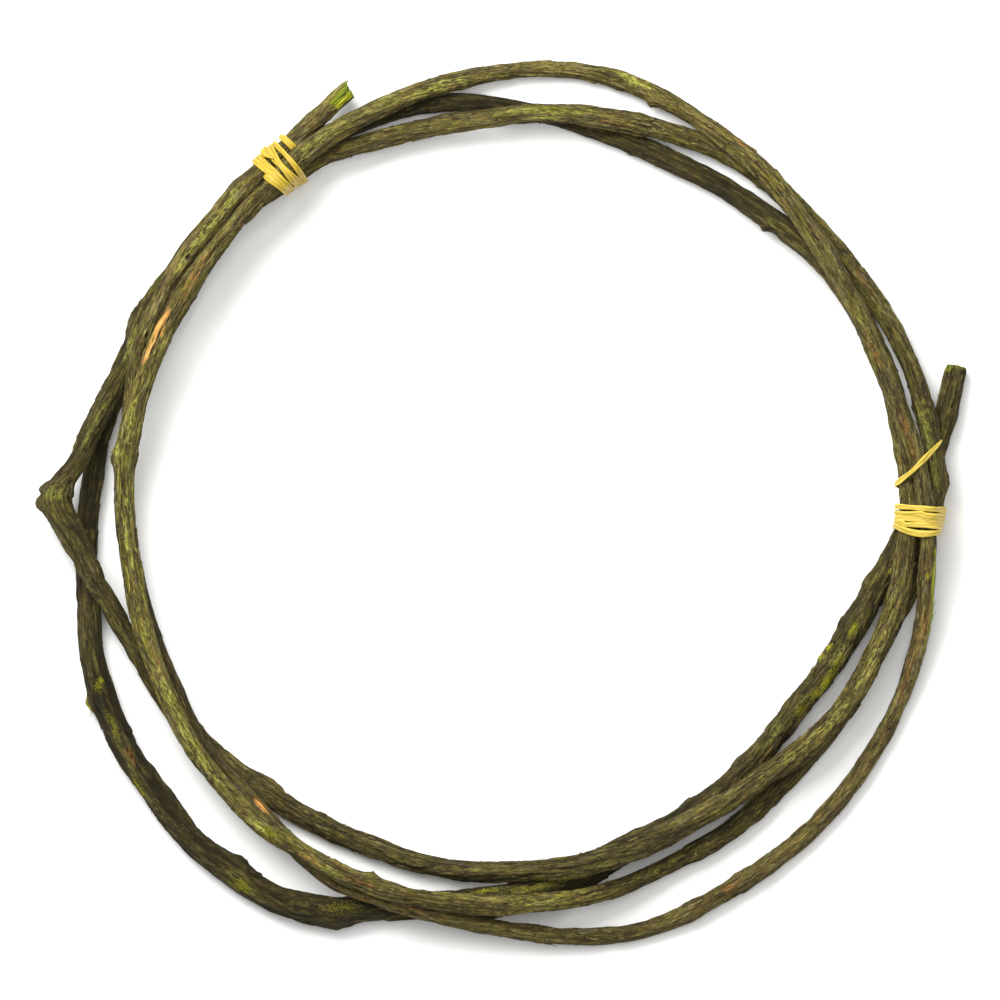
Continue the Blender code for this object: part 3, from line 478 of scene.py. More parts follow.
def put_mesh(name, points, quads, triangles, attributes, unwrapped=None):
    """A mesh from arrays of points in millimetres, four-cornered and three-cornered faces, point attributes
    of one, three or four numbers, and the places of the faces' corners on the flat map if there is one."""
    mesh = bpy.data.meshes.new(name)
    corners = np.concatenate([quads.ravel(), triangles.ravel()]).astype(np.int32)
    sizes = np.concatenate([np.full(len(quads), 4), np.full(len(triangles), 3)])
    mesh.vertices.add(len(points))
    mesh.vertices.foreach_set("co", (points * MM).astype(np.float32).ravel())
    mesh.loops.add(len(corners))
    mesh.loops.foreach_set("vertex_index", corners)
    mesh.polygons.add(len(sizes))
    mesh.polygons.foreach_set("loop_start", np.concatenate([[0], np.cumsum(sizes)[:-1]]).astype(np.int32))
    mesh.update(calc_edges=True)
    for title, values in attributes.items():
        kind, field = {1: ("FLOAT", "value"), 3: ("FLOAT_VECTOR", "vector"), 4: ("FLOAT_COLOR", "color")}[
            values.shape[1]
        ]
        mesh.attributes.new(title, kind, "POINT").data.foreach_set(field, values.astype(np.float32).ravel())
    if unwrapped is not None:
        layer = mesh.uv_layers.new(name="OFBake")  # the flat map for the finish
        layer.uv.foreach_set("vector", unwrapped.astype(np.float32).ravel())
    mesh.shade_smooth()
    piece = bpy.data.objects.new(name, mesh)
    bpy.context.scene.collection.objects.link(piece)
    return piece


def tube_faces(rings, sides):
    """The faces of a tube of rings of points, closed at both
    ends round two more points that follow the rings."""
    ring, side = np.meshgrid(np.arange(rings - 1), np.arange(sides), indexing="ij")
    after = (side + 1) % sides
    quads = np.stack([ring * sides + side, (ring + 1) * sides + side, (ring + 1) * sides + after,
                      ring * sides + after], axis=-1).reshape(-1, 4)
    side = np.arange(sides)
    after = (side + 1) % sides
    start, end = rings * sides, rings * sides + 1
    last = (rings - 1) * sides
    triangles = np.concatenate([
        np.stack([np.full(sides, start), side, after], axis=-1),
        np.stack([np.full(sides, end), last + after, last + side], axis=-1),
    ])
    return quads, triangles


STRIPS = 6  # a turn's bark is laid on its square map in this many strips, side by side
STRIP_MARGIN = 0.03


def strips_map(rings, sides):
    """The places of a tube's face corners on a square map, where the tube's length is cut into strips."""
    per_strip = math.ceil(rings / STRIPS)
    ring, side = np.meshgrid(np.arange(rings - 1), np.arange(sides), indexing="ij")
    strip = ring // per_strip

    def place(ring, side):
        across = ((ring - strip * per_strip) / per_strip * (1 - 2 * STRIP_MARGIN / STRIPS)
                  + STRIP_MARGIN / STRIPS)
        up = (strip + STRIP_MARGIN + side / sides * (1 - 2 * STRIP_MARGIN)) / STRIPS
        return np.stack([across, up], axis=-1)

    quads = np.stack([place(ring, side), place(ring + 1, side), place(ring + 1, side + 1),
                      place(ring, side + 1)], axis=2).reshape(-1, 2)
    side = np.arange(sides)
    caps = []
    for middle_u, first, second in ((0.25, side, side + 1), (0.75, side + 1, side)):
        angles = np.stack([0 * side, first, second], axis=1) * 2 * math.pi / sides
        reach = np.array([0.0, 1.0, 1.0]) * STRIP_MARGIN / STRIPS / 3
        caps.append(np.stack([middle_u + reach * np.cos(angles), reach * (1.2 + np.sin(angles))], axis=-1))
    return np.concatenate([quads, np.concatenate(caps).reshape(-1, 2)])


SOLE = 0.0  # the lowest bark is pressed flat on the table


def stem_surface(places, end_cuts):
    """The bark's surface at these places along the stem: its points and the attributes of its finish.

    A point is the stem's middle, plus the radius with the bark's relief, along the direction at its angle. At
    an end that is cut, more rings follow, whose radius shrinks to nothing on a rough face.
    """
    k = np.clip(np.round(places / stem_places[1]).astype(int), 0, len(stem_places) - 1)
    angle = (np.arange(SIDES) / SIDES * 2 * math.pi - math.pi / 2)[None, :]
    along = places[:, None] + 0 * angle
    radius = stem_radius[k][:, None]
    coat = stem_coat[k]
    relief, crevice_shade = shaped_bark(along, angle, radius, coat[:, 3:4])
    bare = marked(along, angle, radius, BARE_WOOD, 0.25)
    rust = marked(along, angle, radius, RUST, 0.7)
    lichen = marked(along, angle, radius, LICHEN, 0.9)
    green = marked(along, angle, radius, GREEN_UNDER_BARK, 0.3)
    hole = marked(along, angle, radius, HOLES, 0.1)
    relief -= 0.45 * np.clip(bare + green, 0, 1) + 0.9 * hole
    crevice_shade = crevice_shade * (1 - np.clip(bare + green, 0, 1))
    relief += 0.12 * lichen
    inner = np.ones_like(along)
    wood = np.zeros_like(along)
    shift = np.zeros_like(along)
    yellow = np.zeros_like(along)
    for cut_end in end_cuts:
        inner, wood, shift, yellow = cut_end(along, angle, inner, wood, shift)
    reach = (radius + relief) * inner
    outward = (np.cos(angle)[..., None] * rightward[k][:, None]
               + np.sin(angle)[..., None] * upward[k][:, None])
    points = stem_middle[k][:, None] + reach[..., None] * outward + shift[..., None] * tangent[k][:, None]
    points[..., 2] = np.maximum(points[..., 2], SOLE)
    straight = np.stack([reach * np.cos(angle), reach * np.sin(angle), along + shift], axis=-1)
    finish = {
        "straightened_mm": straight.reshape(-1, 3),
        "coat": np.stack([coat[:, 0:1] + 0 * along, coat[:, 1:2] + 0 * along, coat[:, 2:3] + 0 * along,
                          crevice_shade], axis=-1).reshape(-1, 4),
        "marks": np.stack([bare, lichen, hole, rust], axis=-1).reshape(-1, 4),
        "under_bark": np.stack([green, wood, np.clip(yellow + 0 * along, 0, 1)], axis=-1).reshape(-1, 3),
    }
    return points, finish


CAP_RINGS = 14


def with_caps(points, finish):
    """Adds the two middle points that close a tube's ends, with the finish of the rings that they close."""
    rings, sides = points.shape[:2]
    ends = np.stack([points[0].mean(axis=0), points[-1].mean(axis=0)])
    closed = {}
    for title, values in finish.items():
        grid = values.reshape(rings, sides, -1)
        closed[title] = np.concatenate([values, grid[0].mean(axis=0)[None], grid[-1].mean(axis=0)[None]])
    return np.concatenate([points.reshape(-1, 3), ends]), closed


def thin_tip(along, angle, inner, wood, shift):
    """The thin end, torn off when the vine was pulled down. The bark is stripped off its upper side for 12
    mm, where the green wood lies bare between two fins, with a splinter standing on. Rings before the first
    one shrink to nothing over the torn face."""
    turn = (angle / (2 * math.pi)) % 1.0
    ragged = (value_noise(along * 0 + 3.5, turn * 9, 9, 31)
              + 0.6 * value_noise(along * 0 + 8.5, turn * 24, 24, 32))
    closing = np.clip(1 + along / CAP_RINGS / RING_STEP, 0, 1)
    upper = np.clip((angle - 0.85) / 0.2, 0, 1) * np.clip((2.75 - angle) / 0.2, 0, 1)
    stripped = np.clip((1.2 + 10.5 * upper + 1.6 * ragged - along) / 0.8, 0, 1)
    cleft = np.exp(-(((angle - 1.72 - 0.02 * along) / 0.13) ** 2)) * np.clip(1.4 - along / 6, 0, 1)
    splinter = np.exp(-(((angle - 0.72) / 0.2) ** 2))
    at_end = np.clip(1 - along / 7.0, 0, 1)
    shift = shift - at_end * (2.8 * splinter + 0.5 * ragged + 0.7) * np.sqrt(np.clip(closing, 0, 1))
    shift = np.where(along < 0, shift - along * 0.93, shift)
    shift += np.where(along < 0, (1 - closing) * (1.0 + 0.8 * value_noise(along / 2, turn * 8, 8, 33)), 0)
    lowered = stripped * upper * (0.16 - 0.07 * ragged) + 0.28 * cleft * (along > -1)
    inner = inner * closing * (1 - lowered) * (1 + 0.10 * at_end)
    # Painted shade: in the cleft the bare wood keeps its darker olive instead of the bright yellow.
    yellow = np.clip((angle - 1.85) / 0.3, 0, 1) * (1 - 0.9 * cleft)
    return inner, np.maximum(wood, np.maximum(stripped, along < 0)), shift, yellow


stem_length = stem_places[-1]


def thick_end(along, angle, inner, wood, shift):
    """The thick end, sawn roughly across: rings past the last one shrink to nothing over an uneven face. Its
    edge is rubbed round, and left of a short cleft the bark is scraped to green."""
    turn = (angle / (2 * math.pi)) % 1.0
    past = along - stem_length
    closing = np.clip(1 - past / CAP_RINGS / RING_STEP, 0, 1)
    ragged = (value_noise(along * 0 + 3.5, turn * 7, 7, 34)
              + 0.5 * value_noise(along * 0 + 8.5, turn * 18, 18, 35))
    at_end = np.clip(1 + past / 3.0, 0, 1)
    green_side = np.clip((angle - 2.05) / 0.15, 0, 1) * np.clip((3.5 - angle) / 0.3, 0, 1)
    cleft = np.exp(-(((angle - 1.98) / 0.10) ** 2)) * at_end
    shift = shift + at_end * 0.7 * ragged * closing
    uneven = 0.6 * value_noise(past / 2.2, turn * 9, 9, 36)
    shift = np.where(past > 0, shift - past * 0.96 + (1 - closing) * (uneven - 0.4), shift)
    rim = np.clip((0.9 + 3.2 * green_side + past + 0.6 * ragged) / 0.8, 0, 1)
    inner = inner * closing * (1 - 0.14 * at_end**2 - 0.25 * cleft)
    # Painted shade: in the cleft the wood colour gives way to the darker bark colour, on the sawn face too.
    bared = np.where(past > 0, 1.0, 0.75 * rim) * (1 - 0.8 * cleft)
    return inner, np.maximum(wood, bared), shift, 0.4 + 0.3 * ragged - 0.3 * green_side


def hex_to_linear(code):
    """A colour given as sRGB hex, in linear light: each channel is raised by the sRGB curve."""
    channels = np.array([int(code[k:k + 2], 16) / 255 for k in (0, 2, 4)])
    linear = np.where(channels > 0.04045, ((channels + 0.055) / 1.055) ** 2.4, channels / 12.92)
    return (*linear, 1.0)


def add_node(tree, kind, inputs=None, **settings):
    """Adds a node with its settings. Inputs are given by
    name or number, as a value or another node's output."""
    node = tree.nodes.new(kind)
    for name, value in settings.items():
        setattr(node, name, value)
    for socket, value in (inputs or {}).items():
        if isinstance(value, bpy.types.NodeSocket):
            tree.links.new(value, node.inputs[socket])
        else:
            node.inputs[socket].default_value = value
    return node


def mixed(tree, share, under, over):
    """One colour over another by a share, each given as a hex code or a node's output. Returns the output."""
    colours = [hex_to_linear(c) if isinstance(c, str) else c for c in (under, over)]
    node = add_node(tree, "ShaderNodeMix", {0: share, 6: colours[0], 7: colours[1]}, data_type="RGBA")
    return node.outputs[2]


def vine_bark():
    """Dry vine bark under a film of lichen: dull, olive
    brown, streaked lengthwise, with painted shade that makes it nearly black in its crevices.

    Matt fibres scatter all the light, so it has no gloss apart from a little on the bare wood.
    """
    material = bpy.data.materials.new("dry_vine_bark")
    material.use_nodes = True
    tree = material.node_tree
    shader = tree.nodes["Principled BSDF"]
    straight = add_node(tree, "ShaderNodeAttribute", attribute_name="straightened_mm").outputs["Vector"]
    coat = add_node(tree, "ShaderNodeAttribute", attribute_name="coat")
    marks = add_node(tree, "ShaderNodeAttribute", attribute_name="marks")
    under = add_node(tree, "ShaderNodeAttribute", attribute_name="under_bark")
    coats = add_node(tree, "ShaderNodeSeparateColor", {0: coat.outputs["Color"]}).outputs
    mark = add_node(tree, "ShaderNodeSeparateColor", {0: marks.outputs["Color"]}).outputs
    bared = add_node(tree, "ShaderNodeSeparateColor", {0: under.outputs["Color"]}).outputs

    def noise(across_mm, along_mm, detail, low, high, seed):
        """Noise on the straightened bark, this wide and this
        long, spread from 0 to 1 between low and high."""
        scaled = add_node(tree, "ShaderNodeMapping", {
            "Vector": straight,
            "Location": (seed, 2 * seed, 3 * seed),
            "Scale": (1 / across_mm, 1 / across_mm, 1 / along_mm),
        })
        texture = add_node(tree, "ShaderNodeTexNoise", {
            "Vector": scaled.outputs[0], "Scale": 1.0, "Detail": detail, "Roughness": 0.6,
        })
        return add_node(tree, "ShaderNodeMapRange", {0: texture.outputs[0], 1: low, 2: high}).outputs[0]

    def math_of(operation, *values):
        return add_node(tree, "ShaderNodeMath", dict(enumerate(values)), operation=operation).outputs[0]

    def plates(across_mm, along_mm, feature):
        """Cells of about this width and length on the straightened bark, their sides bent by a fine noise."""
        bent = add_node(tree, "ShaderNodeTexNoise", {"Vector": straight, "Scale": 0.5, "Detail": 3.0})
        moved = add_node(tree, "ShaderNodeVectorMath", {
            0: bent.outputs["Color"], 1: (1.2, 1.2, 3.6), 2: straight,
        }, operation="MULTIPLY_ADD")
        scaled = add_node(tree, "ShaderNodeMapping", {
            "Vector": moved.outputs[0], "Scale": (1 / across_mm, 1 / across_mm, 1 / along_mm),
        })
        return add_node(tree, "ShaderNodeTexVoronoi", {
            "Vector": scaled.outputs[0], "Scale": 1.0,
        }, feature=feature)

    streaks = noise(0.8, 18.0, 4.0, 0.38, 0.62, 1.0)
    fine = noise(0.45, 4.5, 2.0, 0.38, 0.62, 2.0)
    colour = mixed(tree, streaks, "3C3217", "7E723C")
    brown = math_of("MULTIPLY", noise(4.5, 16.0, 3.0, 0.42, 0.56, 3.0), coats["Green"])
    colour = mixed(tree, brown, colour, mixed(tree, streaks, "45331D", "84683F"))
    gold = math_of("MULTIPLY", noise(2.6, 9.0, 3.0, 0.56, 0.66, 10.0), 0.6)
    colour = mixed(tree, gold, colour, mixed(tree, fine, "7A5C1C", "A5853A"))
    grey = math_of("MULTIPLY", noise(1.6, 14.0, 4.0, 0.54, 0.64, 4.0), 0.7)
    colour = mixed(tree, grey, colour, mixed(tree, fine, "6A614A", "A39A78"))
    film = math_of("MULTIPLY", noise(2.6, 14.0, 5.0, 0.47, 0.57, 5.0), coats["Red"])
    colour = mixed(tree, math_of("MULTIPLY", film, 0.9), colour, mixed(tree, fine, "65641A", "BCB146"))
    plate = add_node(tree, "ShaderNodeSeparateColor", {0: plates(2.2, 22.0, "F1").outputs["Color"]}).outputs
    pale = add_node(tree, "ShaderNodeMapRange", {0: plate["Red"], 1: 0.55, 2: 0.95, 4: 0.5}).outputs[0]
    colour = mixed(tree, pale, colour, mixed(tree, fine, "857B3A", "B0A65C"))
    dull = add_node(tree, "ShaderNodeMapRange", {0: plate["Green"], 1: 0.55, 2: 0.95, 4: 0.6}).outputs[0]
    colour = mixed(tree, dull, colour, mixed(tree, fine, "352B14", "50441F"))
    shade = math_of("MULTIPLY", noise(3.0, 26.0, 3.0, 0.46, 0.66, 11.0), 0.45)
    colour = mixed(tree, shade, colour, "2E2610")
    flecks = math_of("MULTIPLY", noise(0.6, 5.0, 2.0, 0.60, 0.65, 8.0), 0.45)
    colour = mixed(tree, flecks, colour, "BFB66C")
    pores = math_of("MULTIPLY", noise(0.55, 4.5, 2.0, 0.58, 0.64, 9.0), 0.5)
    colour = mixed(tree, pores, colour, "1A1508")
    from_edge = plates(3.2, 11.0, "DISTANCE_TO_EDGE").outputs["Distance"]
    cracks = add_node(tree, "ShaderNodeMapRange", {0: from_edge, 1: 0.075, 2: 0.02}).outputs[0]
    cracks = math_of("MULTIPLY", cracks, noise(5.0, 12.0, 2.0, 0.50, 0.62, 12.0))
    fissures = math_of("PINGPONG", noise(1.5, 26.0, 3.0, 0.465, 0.535, 13.0), 0.5)
    cracks = math_of("MAXIMUM", cracks, math_of("MULTIPLY", fissures, 1.7))
    colour = mixed(tree, math_of("MULTIPLY", cracks, 0.7), colour, "171206")
    crust = math_of("MULTIPLY", mark["Green"], noise(0.9, 2.4, 4.0, 0.42, 0.54, 6.0))
    colour = mixed(tree, crust, colour, mixed(tree, fine, "868A28", "D2D068"))
    # The coat's darkening: partly the bark's own tone and partly painted shade on passes that lie under or
    # beside others.
    uneven = math_of("MULTIPLY_ADD", noise(3.5, 30.0, 3.0, 0.4, 0.6, 14.0), 0.42, 0.58)
    dark_tone_and_painted_shade = math_of("MULTIPLY", coats["Blue"], uneven)
    colour = mixed(tree, dark_tone_and_painted_shade, colour, "262009")
    rust = math_of("MULTIPLY", marks.outputs["Alpha"], noise(0.8, 3.5, 3.0, 0.40, 0.58, 7.0))
    colour = mixed(tree, rust, colour, mixed(tree, fine, "7A4A22", "B88348"))
    # Painted shade: the bark is darkened nearly to black in its crevices.
    colour = mixed(tree, math_of("MULTIPLY", coat.outputs["Alpha"], 0.7), colour, "161206")
    colour = mixed(tree, mark["Red"], colour, mixed(tree, streaks, "C4802C", "EDB468"))
    colour = mixed(tree, bared["Red"], colour, mixed(tree, streaks, "8FA01C", "C6D834"))
    cut_wood = mixed(tree, bared["Blue"], mixed(tree, streaks, "4A5410", "8C9624"),
                     mixed(tree, streaks, "9BA018", "D2D02E"))
    colour = mixed(tree, bared["Green"], colour, cut_wood)
    # Painted shade: the holes and clefts are nearly black, deeper than their shallow dent.
    colour = mixed(tree, mark["Blue"], colour, "090805")
    tree.links.new(colour, shader.inputs["Base Color"])
    smoother = math_of("MAXIMUM", mark["Red"], bared["Green"])
    roughness = add_node(tree, "ShaderNodeMapRange", {0: smoother, 3: 0.92, 4: 0.62}).outputs[0]
    tree.links.new(roughness, shader.inputs["Roughness"])
    shader.inputs["Specular IOR Level"].default_value = 0.25
    ridged = math_of("ADD", math_of("MULTIPLY", streaks, 0.5), math_of("MULTIPLY", fine, 0.5))
    ridged = math_of("SUBTRACT", ridged, math_of("MAXIMUM", pores, cracks))
    bump = add_node(tree, "ShaderNodeBump", {"Strength": 0.8, "Distance": 0.0006, "Height": ridged})
    tree.links.new(bump.outputs[0], shader.inputs["Normal"])
    return material


bark_material = vine_bark()

# The stem is meshed a turn at a time, so that the bark of each has enough
# faces. The turns meet inside the right tie, where the raffia covers the joint.
TURN_JOINT_Y = -10.0
RIGHT_SIDE_X = 150
off_joint = stem_middle[:, 1] - (TURN_JOINT_Y - MIDDLE[1])
joints = np.nonzero((off_joint[:-1] * off_joint[1:] < 0) & (stem_middle[:-1, 0] > RIGHT_SIDE_X))[0][:3]
bounds_of_turns = [0, *joints, len(stem_places) - 1]
bark_reach = np.zeros((len(stem_places), SIDES))  # from the stem's middle line out to its bark
cap = np.arange(1, CAP_RINGS + 1) * RING_STEP * (1 - 1e-6)
for turn_number, (first, last) in enumerate(zip(bounds_of_turns, bounds_of_turns[1:]), start=1):
    turn_places = stem_places[first:last + 1]
    cuts = []
    rings_before = 0
    if turn_number == 1:
        turn_places = np.concatenate([-cap[::-1], turn_places])
        cuts = [thin_tip]
        rings_before = CAP_RINGS
    if turn_number == 4:
        turn_places = np.concatenate([turn_places, stem_length + cap])
        cuts = [thick_end]
    points, finish = stem_surface(turn_places, cuts)
    bark = points[rings_before:rings_before + last + 1 - first]
    bark_reach[first:last + 1] = np.linalg.norm(bark - stem_middle[first:last + 1, None], axis=2)
    points, finish = with_caps(points, finish)
    stem_turn = put_mesh(
        f"vine_stem_turn_{turn_number}", points, *tube_faces(len(turn_places), SIDES), finish,
        strips_map(len(turn_places), SIDES),
    )
    stem_turn.data.materials.append(bark_material)
    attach(stem_turn, "root")
    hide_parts("vine_stem")

# What grows and hangs on the bark
# Cushions of moss sit on the damp thick turns. Thin flakes of outer bark have come loose and curl up at one
# end, and a few torn fibres stand off.

dice = np.random.default_rng(20)


def along_stem(columns, places):
    """The values of the stem's columns at any places: the rows on both sides, weighted by nearness."""
    spot = np.clip(places / stem_places[1], 0, len(columns) - 1.001)
    k = spot.astype(int)
    share = (spot - k)[..., None]
    return columns[k] * (1 - share) + columns[k + 1] * share


def out_of_bark(places, angles):
    """The direction out of the stem: its rightward one
    times the cosine, plus its upward one times the sine."""
    return (np.cos(angles)[..., None] * along_stem(rightward, places)
            + np.sin(angles)[..., None] * along_stem(upward, places))


def reach_at(places, angles):
    """How far out from the stem's middle the bark is, at the nearest corner of its surface."""
    k = np.clip(np.round(places / stem_places[1]).astype(int), 0, len(stem_places) - 1)
    return bark_reach[k, np.round((angles + math.pi / 2) / (2 * math.pi) * SIDES).astype(int) % SIDES]


def repeated(faces, times, corners_each):
    """The faces of many like pieces whose corners follow on from each other."""
    return (faces[None] + (np.arange(times) * corners_each)[:, None, None]).reshape(-1, faces.shape[1])


# Patches of moss: stretch, x, y, half the length, half the width, and how many shoots.
MOSS = (
    ("left 4", -204.3, -102.3, 2.4, 1.6, 620), ("left 4", -200.5, -93.5, 3.0, 2.0, 160),
    ("left 4", -199.5, -90.5, 1.2, 0.9, 120), ("bottom 4", -129.0, -192.5, 4.5, 2.4, 420),
    ("bottom 4", -7.0, -195.8, 6.0, 1.2, 320), ("bottom 4", 20.0, -193.0, 15.0, 1.8, 460),
    ("right 4", 176.5, -64.5, 3.0, 1.3, 420), ("right 4", 164.8, -73.5, 1.6, 1.2, 260),
    ("right 4", 160.5, -79.0, 2.0, 1.0, 160), ("right 4", 163.5, -90.5, 5.0, 1.7, 620),
    ("right 4", 158.0, -97.0, 3.0, 1.8, 300), ("right 4", 169.0, -81.0, 4.0, 1.4, 240),
    ("right 4", 150.5, -105.0, 4.0, 1.8, 200), ("bottom 2", -114.0, -166.5, 5.0, 2.2, 320),
    ("right 1", 213.5, -36.0, 0.6, 0.5, 80), ("right 4", 195.2, -35.6, 1.0, 0.8, 170),
    ("left 4", -193.5, -112.5, 6.0, 1.6, 240), ("left 4", -180.2, -144.0, 5.0, 1.1, 240),
    ("bottom 3", 24.0, -190.0, 12.0, 1.0, 90),
    ("top 2", 24.0, 196.0, 7.0, 1.0, 160), ("bottom 4", -80.0, -204.0, 9.0, 2.6, 260),
)


def moss_green():
    """Dry cushion moss: dull olive at the foot of each shoot and a bright yellow green at its tip."""
    material = bpy.data.materials.new("dry_cushion_moss")
    material.use_nodes = True
    tree = material.node_tree
    shader = tree.nodes["Principled BSDF"]
    shoot = add_node(tree, "ShaderNodeAttribute", attribute_name="shoot").outputs["Vector"]
    part = add_node(tree, "ShaderNodeSeparateXYZ", {0: shoot}).outputs
    tip = mixed(tree, part["Y"], "98941E", "DAD24A")
    tree.links.new(mixed(tree, part["X"], "5E6012", tip), shader.inputs["Base Color"])
    shader.inputs["Roughness"].default_value = 0.85
    shader.inputs["Specular IOR Level"].default_value = 0.15
    return material


def shoots(patches, tallest, foot):
    """Leaning three-sided spikes on the bark, scattered about each patch as a bell curve: their corners
    and the attribute of their height, from 0 at the foot to 1 at the tip, with a random tone."""
    place, angle = [], []
    for stretch, x, y, half_length, half_width, count in patches:
        middle_place, middle_angle = on_bark(stretch, x, y)
        radius = float(np.interp(middle_place, stem_places, stem_radius))
        place.append(middle_place + dice.normal(0, 0.6, count) * half_length)
        angle.append(middle_angle + dice.normal(0, 0.6, count) * half_width / radius)
    place, angle = np.concatenate(place), np.concatenate(angle)
    out = out_of_bark(place, angle)
    forward = along_stem(tangent, place)
    side = np.cross(out, forward)
    root = along_stem(stem_middle, place) + (reach_at(place, angle) - 0.15)[:, None] * out
    height = tallest * dice.uniform(0.4, 1.0, len(place))
    lean = out + dice.normal(0, 0.45, (len(place), 3))
    lean /= np.linalg.norm(lean, axis=1)[:, None]
    turned = dice.uniform(0, 2 * math.pi, len(place))[:, None] + np.arange(3) * 2 * math.pi / 3
    feet = root[:, None] + foot * (np.cos(turned)[..., None] * forward[:, None]
                                   + np.sin(turned)[..., None] * side[:, None])
    corners = np.concatenate([feet, (root + height[:, None] * lean)[:, None]], axis=1)
    corners[..., 2] = np.maximum(corners[..., 2], SOLE)
    tone = dice.uniform(0, 1, len(place))[:, None] + np.zeros(4)
    shoot = np.stack([np.array([0.0, 0.0, 0.0, 1.0]) + 0 * tone, tone, 0 * tone], axis=-1)
    return corners.reshape(-1, 3), {"shoot": shoot.reshape(-1, 3)}


SPIKE = np.array([[0, 3, 1], [1, 3, 2], [2, 3, 0], [0, 1, 2]])
SHOOT_HEIGHT = 1.0
SHOOT_FOOT = 0.22
moss_points, moss_finish = shoots(MOSS, SHOOT_HEIGHT, SHOOT_FOOT)
moss = put_mesh(
    "moss_cushions", moss_points, np.zeros((0, 4), int),
    repeated(SPIKE, len(moss_points) // 4, 4), moss_finish,
)
moss.data.materials.append(moss_green())

SLIVER_RINGS = 6
SLIVER_SIDES = 8


def slivers(place, angle, length, width, thickness, lift, sideways, green, straightness):
    """Thin slivers of bark along the stem that rise off it
    towards one end, as corners and the bark's attributes.

    Each argument has one value for each sliver. At a share t of its length a sliver has the width times
    sqrt(1 - 0.9 (2t - 1)^2), has risen by the lift times t^2, and has turned aside by t^2 too. A negative
    length runs back towards the thin tip. A straight one keeps level, and one that isn't follows the bark.
    """
    column = [v[:, None, None] for v in (place, angle, length, width, thickness, lift, sideways)]
    place_0, angle_0, run, wide, thick, rise, aside = column
    t = np.linspace(0, 1, SLIVER_RINGS)[None, :, None]
    turn = (np.arange(SLIVER_SIDES) / SLIVER_SIDES * 2 * math.pi)[None, None, :]
    swell = np.sqrt(1 - 0.9 * (2 * t - 1) ** 2)
    places = place_0 + run * t + 0 * turn
    radius = along_stem(stem_rows[:, 2:3], place)[:, 0][:, None, None]
    angles = angle_0 + (wide / 2 * swell * np.cos(turn) + aside * t**2) / radius
    level = reach_at(place_0, angle_0) * straightness + reach_at(places, angles) * (1 - straightness)
    reach = level + rise * t**2 - np.sign(run) * thick / 2 * swell * np.sin(turn)
    points = along_stem(stem_middle, places) + reach[..., None] * out_of_bark(places, angles)
    points[..., 2] = np.maximum(points[..., 2], SOLE)
    straight = np.stack([reach * np.cos(angles), reach * np.sin(angles), places + 31.0], axis=-1)
    coat = along_stem(stem_coat, places)
    # Painted shade: the side of each sliver that faces the bark is darkened, as under a lifted flake.
    coat[..., 3] = 0.35 * (np.sin(turn) * np.sign(run) > 0.3)
    none = np.zeros(points.shape[:3])
    finish = {
        "straightened_mm": straight,
        "coat": coat,
        "marks": np.stack([none, none, none, none], axis=-1),
        "under_bark": np.stack([none + green[:, None, None], none, none], axis=-1),
    }

    def closed(grid):
        ends = grid[:, [0, -1]].mean(axis=2)
        return np.concatenate([grid.reshape(len(grid), -1, grid.shape[-1]), ends], axis=1).reshape(
            -1, grid.shape[-1])

    return closed(points), {title: closed(values) for title, values in finish.items()}


def put_slivers(name, *shape):
    """A mesh of slivers in the bark's own material, which rides with the stem."""
    points, finish = slivers(*shape)
    quads, triangles = tube_faces(SLIVER_RINGS, SLIVER_SIDES)
    corners_each = SLIVER_RINGS * SLIVER_SIDES + 2
    count = len(points) // corners_each
    piece = put_mesh(
        name, points, repeated(quads, count, corners_each),
        repeated(triangles, count, corners_each), finish,
    )
    piece.data.materials.append(bark_material)
    return piece


FLAKES = 1500
flake_place = dice.uniform(4.0, stem_length - 4.0, 4 * FLAKES)
fissured_there = np.interp(flake_place, stem_places, stem_coat[:, 3])
rough_enough = dice.uniform(0, 1, len(flake_place)) < fissured_there ** 2
elbow_place = on_bark("left 3", -222.0, 1.0)[0]
CLEAR_OF_ELBOW = 20.0  # nothing stands off where the stem is folded sharply
off_elbow = np.abs(flake_place - elbow_place) > CLEAR_OF_ELBOW
flake_place = flake_place[rough_enough & off_elbow][:FLAKES]
count = len(flake_place)
flake_lift = dice.uniform(0.1, 0.5, count) + 0.5 * (dice.uniform(0, 1, count) < 0.15)
flakes = put_slivers(
    "bark_flakes", flake_place, dice.uniform(-0.6, 3.75, count),
    dice.uniform(1.8, 6.0, count) * dice.choice([-1, 1], count), dice.uniform(0.7, 1.9, count),
    dice.uniform(0.16, 0.32, count), flake_lift, dice.normal(0, 0.5, count), np.zeros(count), 0.5,
)

# Fibres: stretch, x, y, length, how far it stands off and aside, and whether it is green under-bark.
FIBRES = (
    ("right 1", 216.5, -58.0, 9.0, 1.6, 0.8, 0.9), ("right 1", 217.0, -55.0, -6.0, 1.0, -0.6, 0.9),
    ("right 1", 216.0, -60.5, 5.0, 2.2, 1.2, 0.8), ("right 1", 217.0, -36.0, 12.0, 0.9, 0.5, 0.9),
    ("right 1", 217.0, -44.0, -8.0, 0.7, -0.4, 1.0), ("left 1", -79.0, 206.0, -5.0, 1.2, -0.6, 0.0),
    ("left 3", -211.0, -12.0, 6.0, 1.4, 0.6, 0.0), ("left 4", -203.5, -104.0, 4.5, 1.5, -0.8, 0.3),
    ("left 3", -190.0, 61.0, 10.0, 0.8, 0.7, 0.0), ("right 4", 120.5, -141.0, -7.0, 1.2, 0.6, 0.0),
    ("bottom 1", 22.0, -222.0, 7.0, 0.9, 0.4, 0.0), ("top 1", 96.0, 196.0, -7.0, 1.0, 0.4, 0.0),
    ("left 3", -204.5, -38.0, -9.0, 0.6, 2.2, 0.0), ("bottom 4", -150.0, -167.0, 6.0, 1.2, 0.5, 0.0),
)
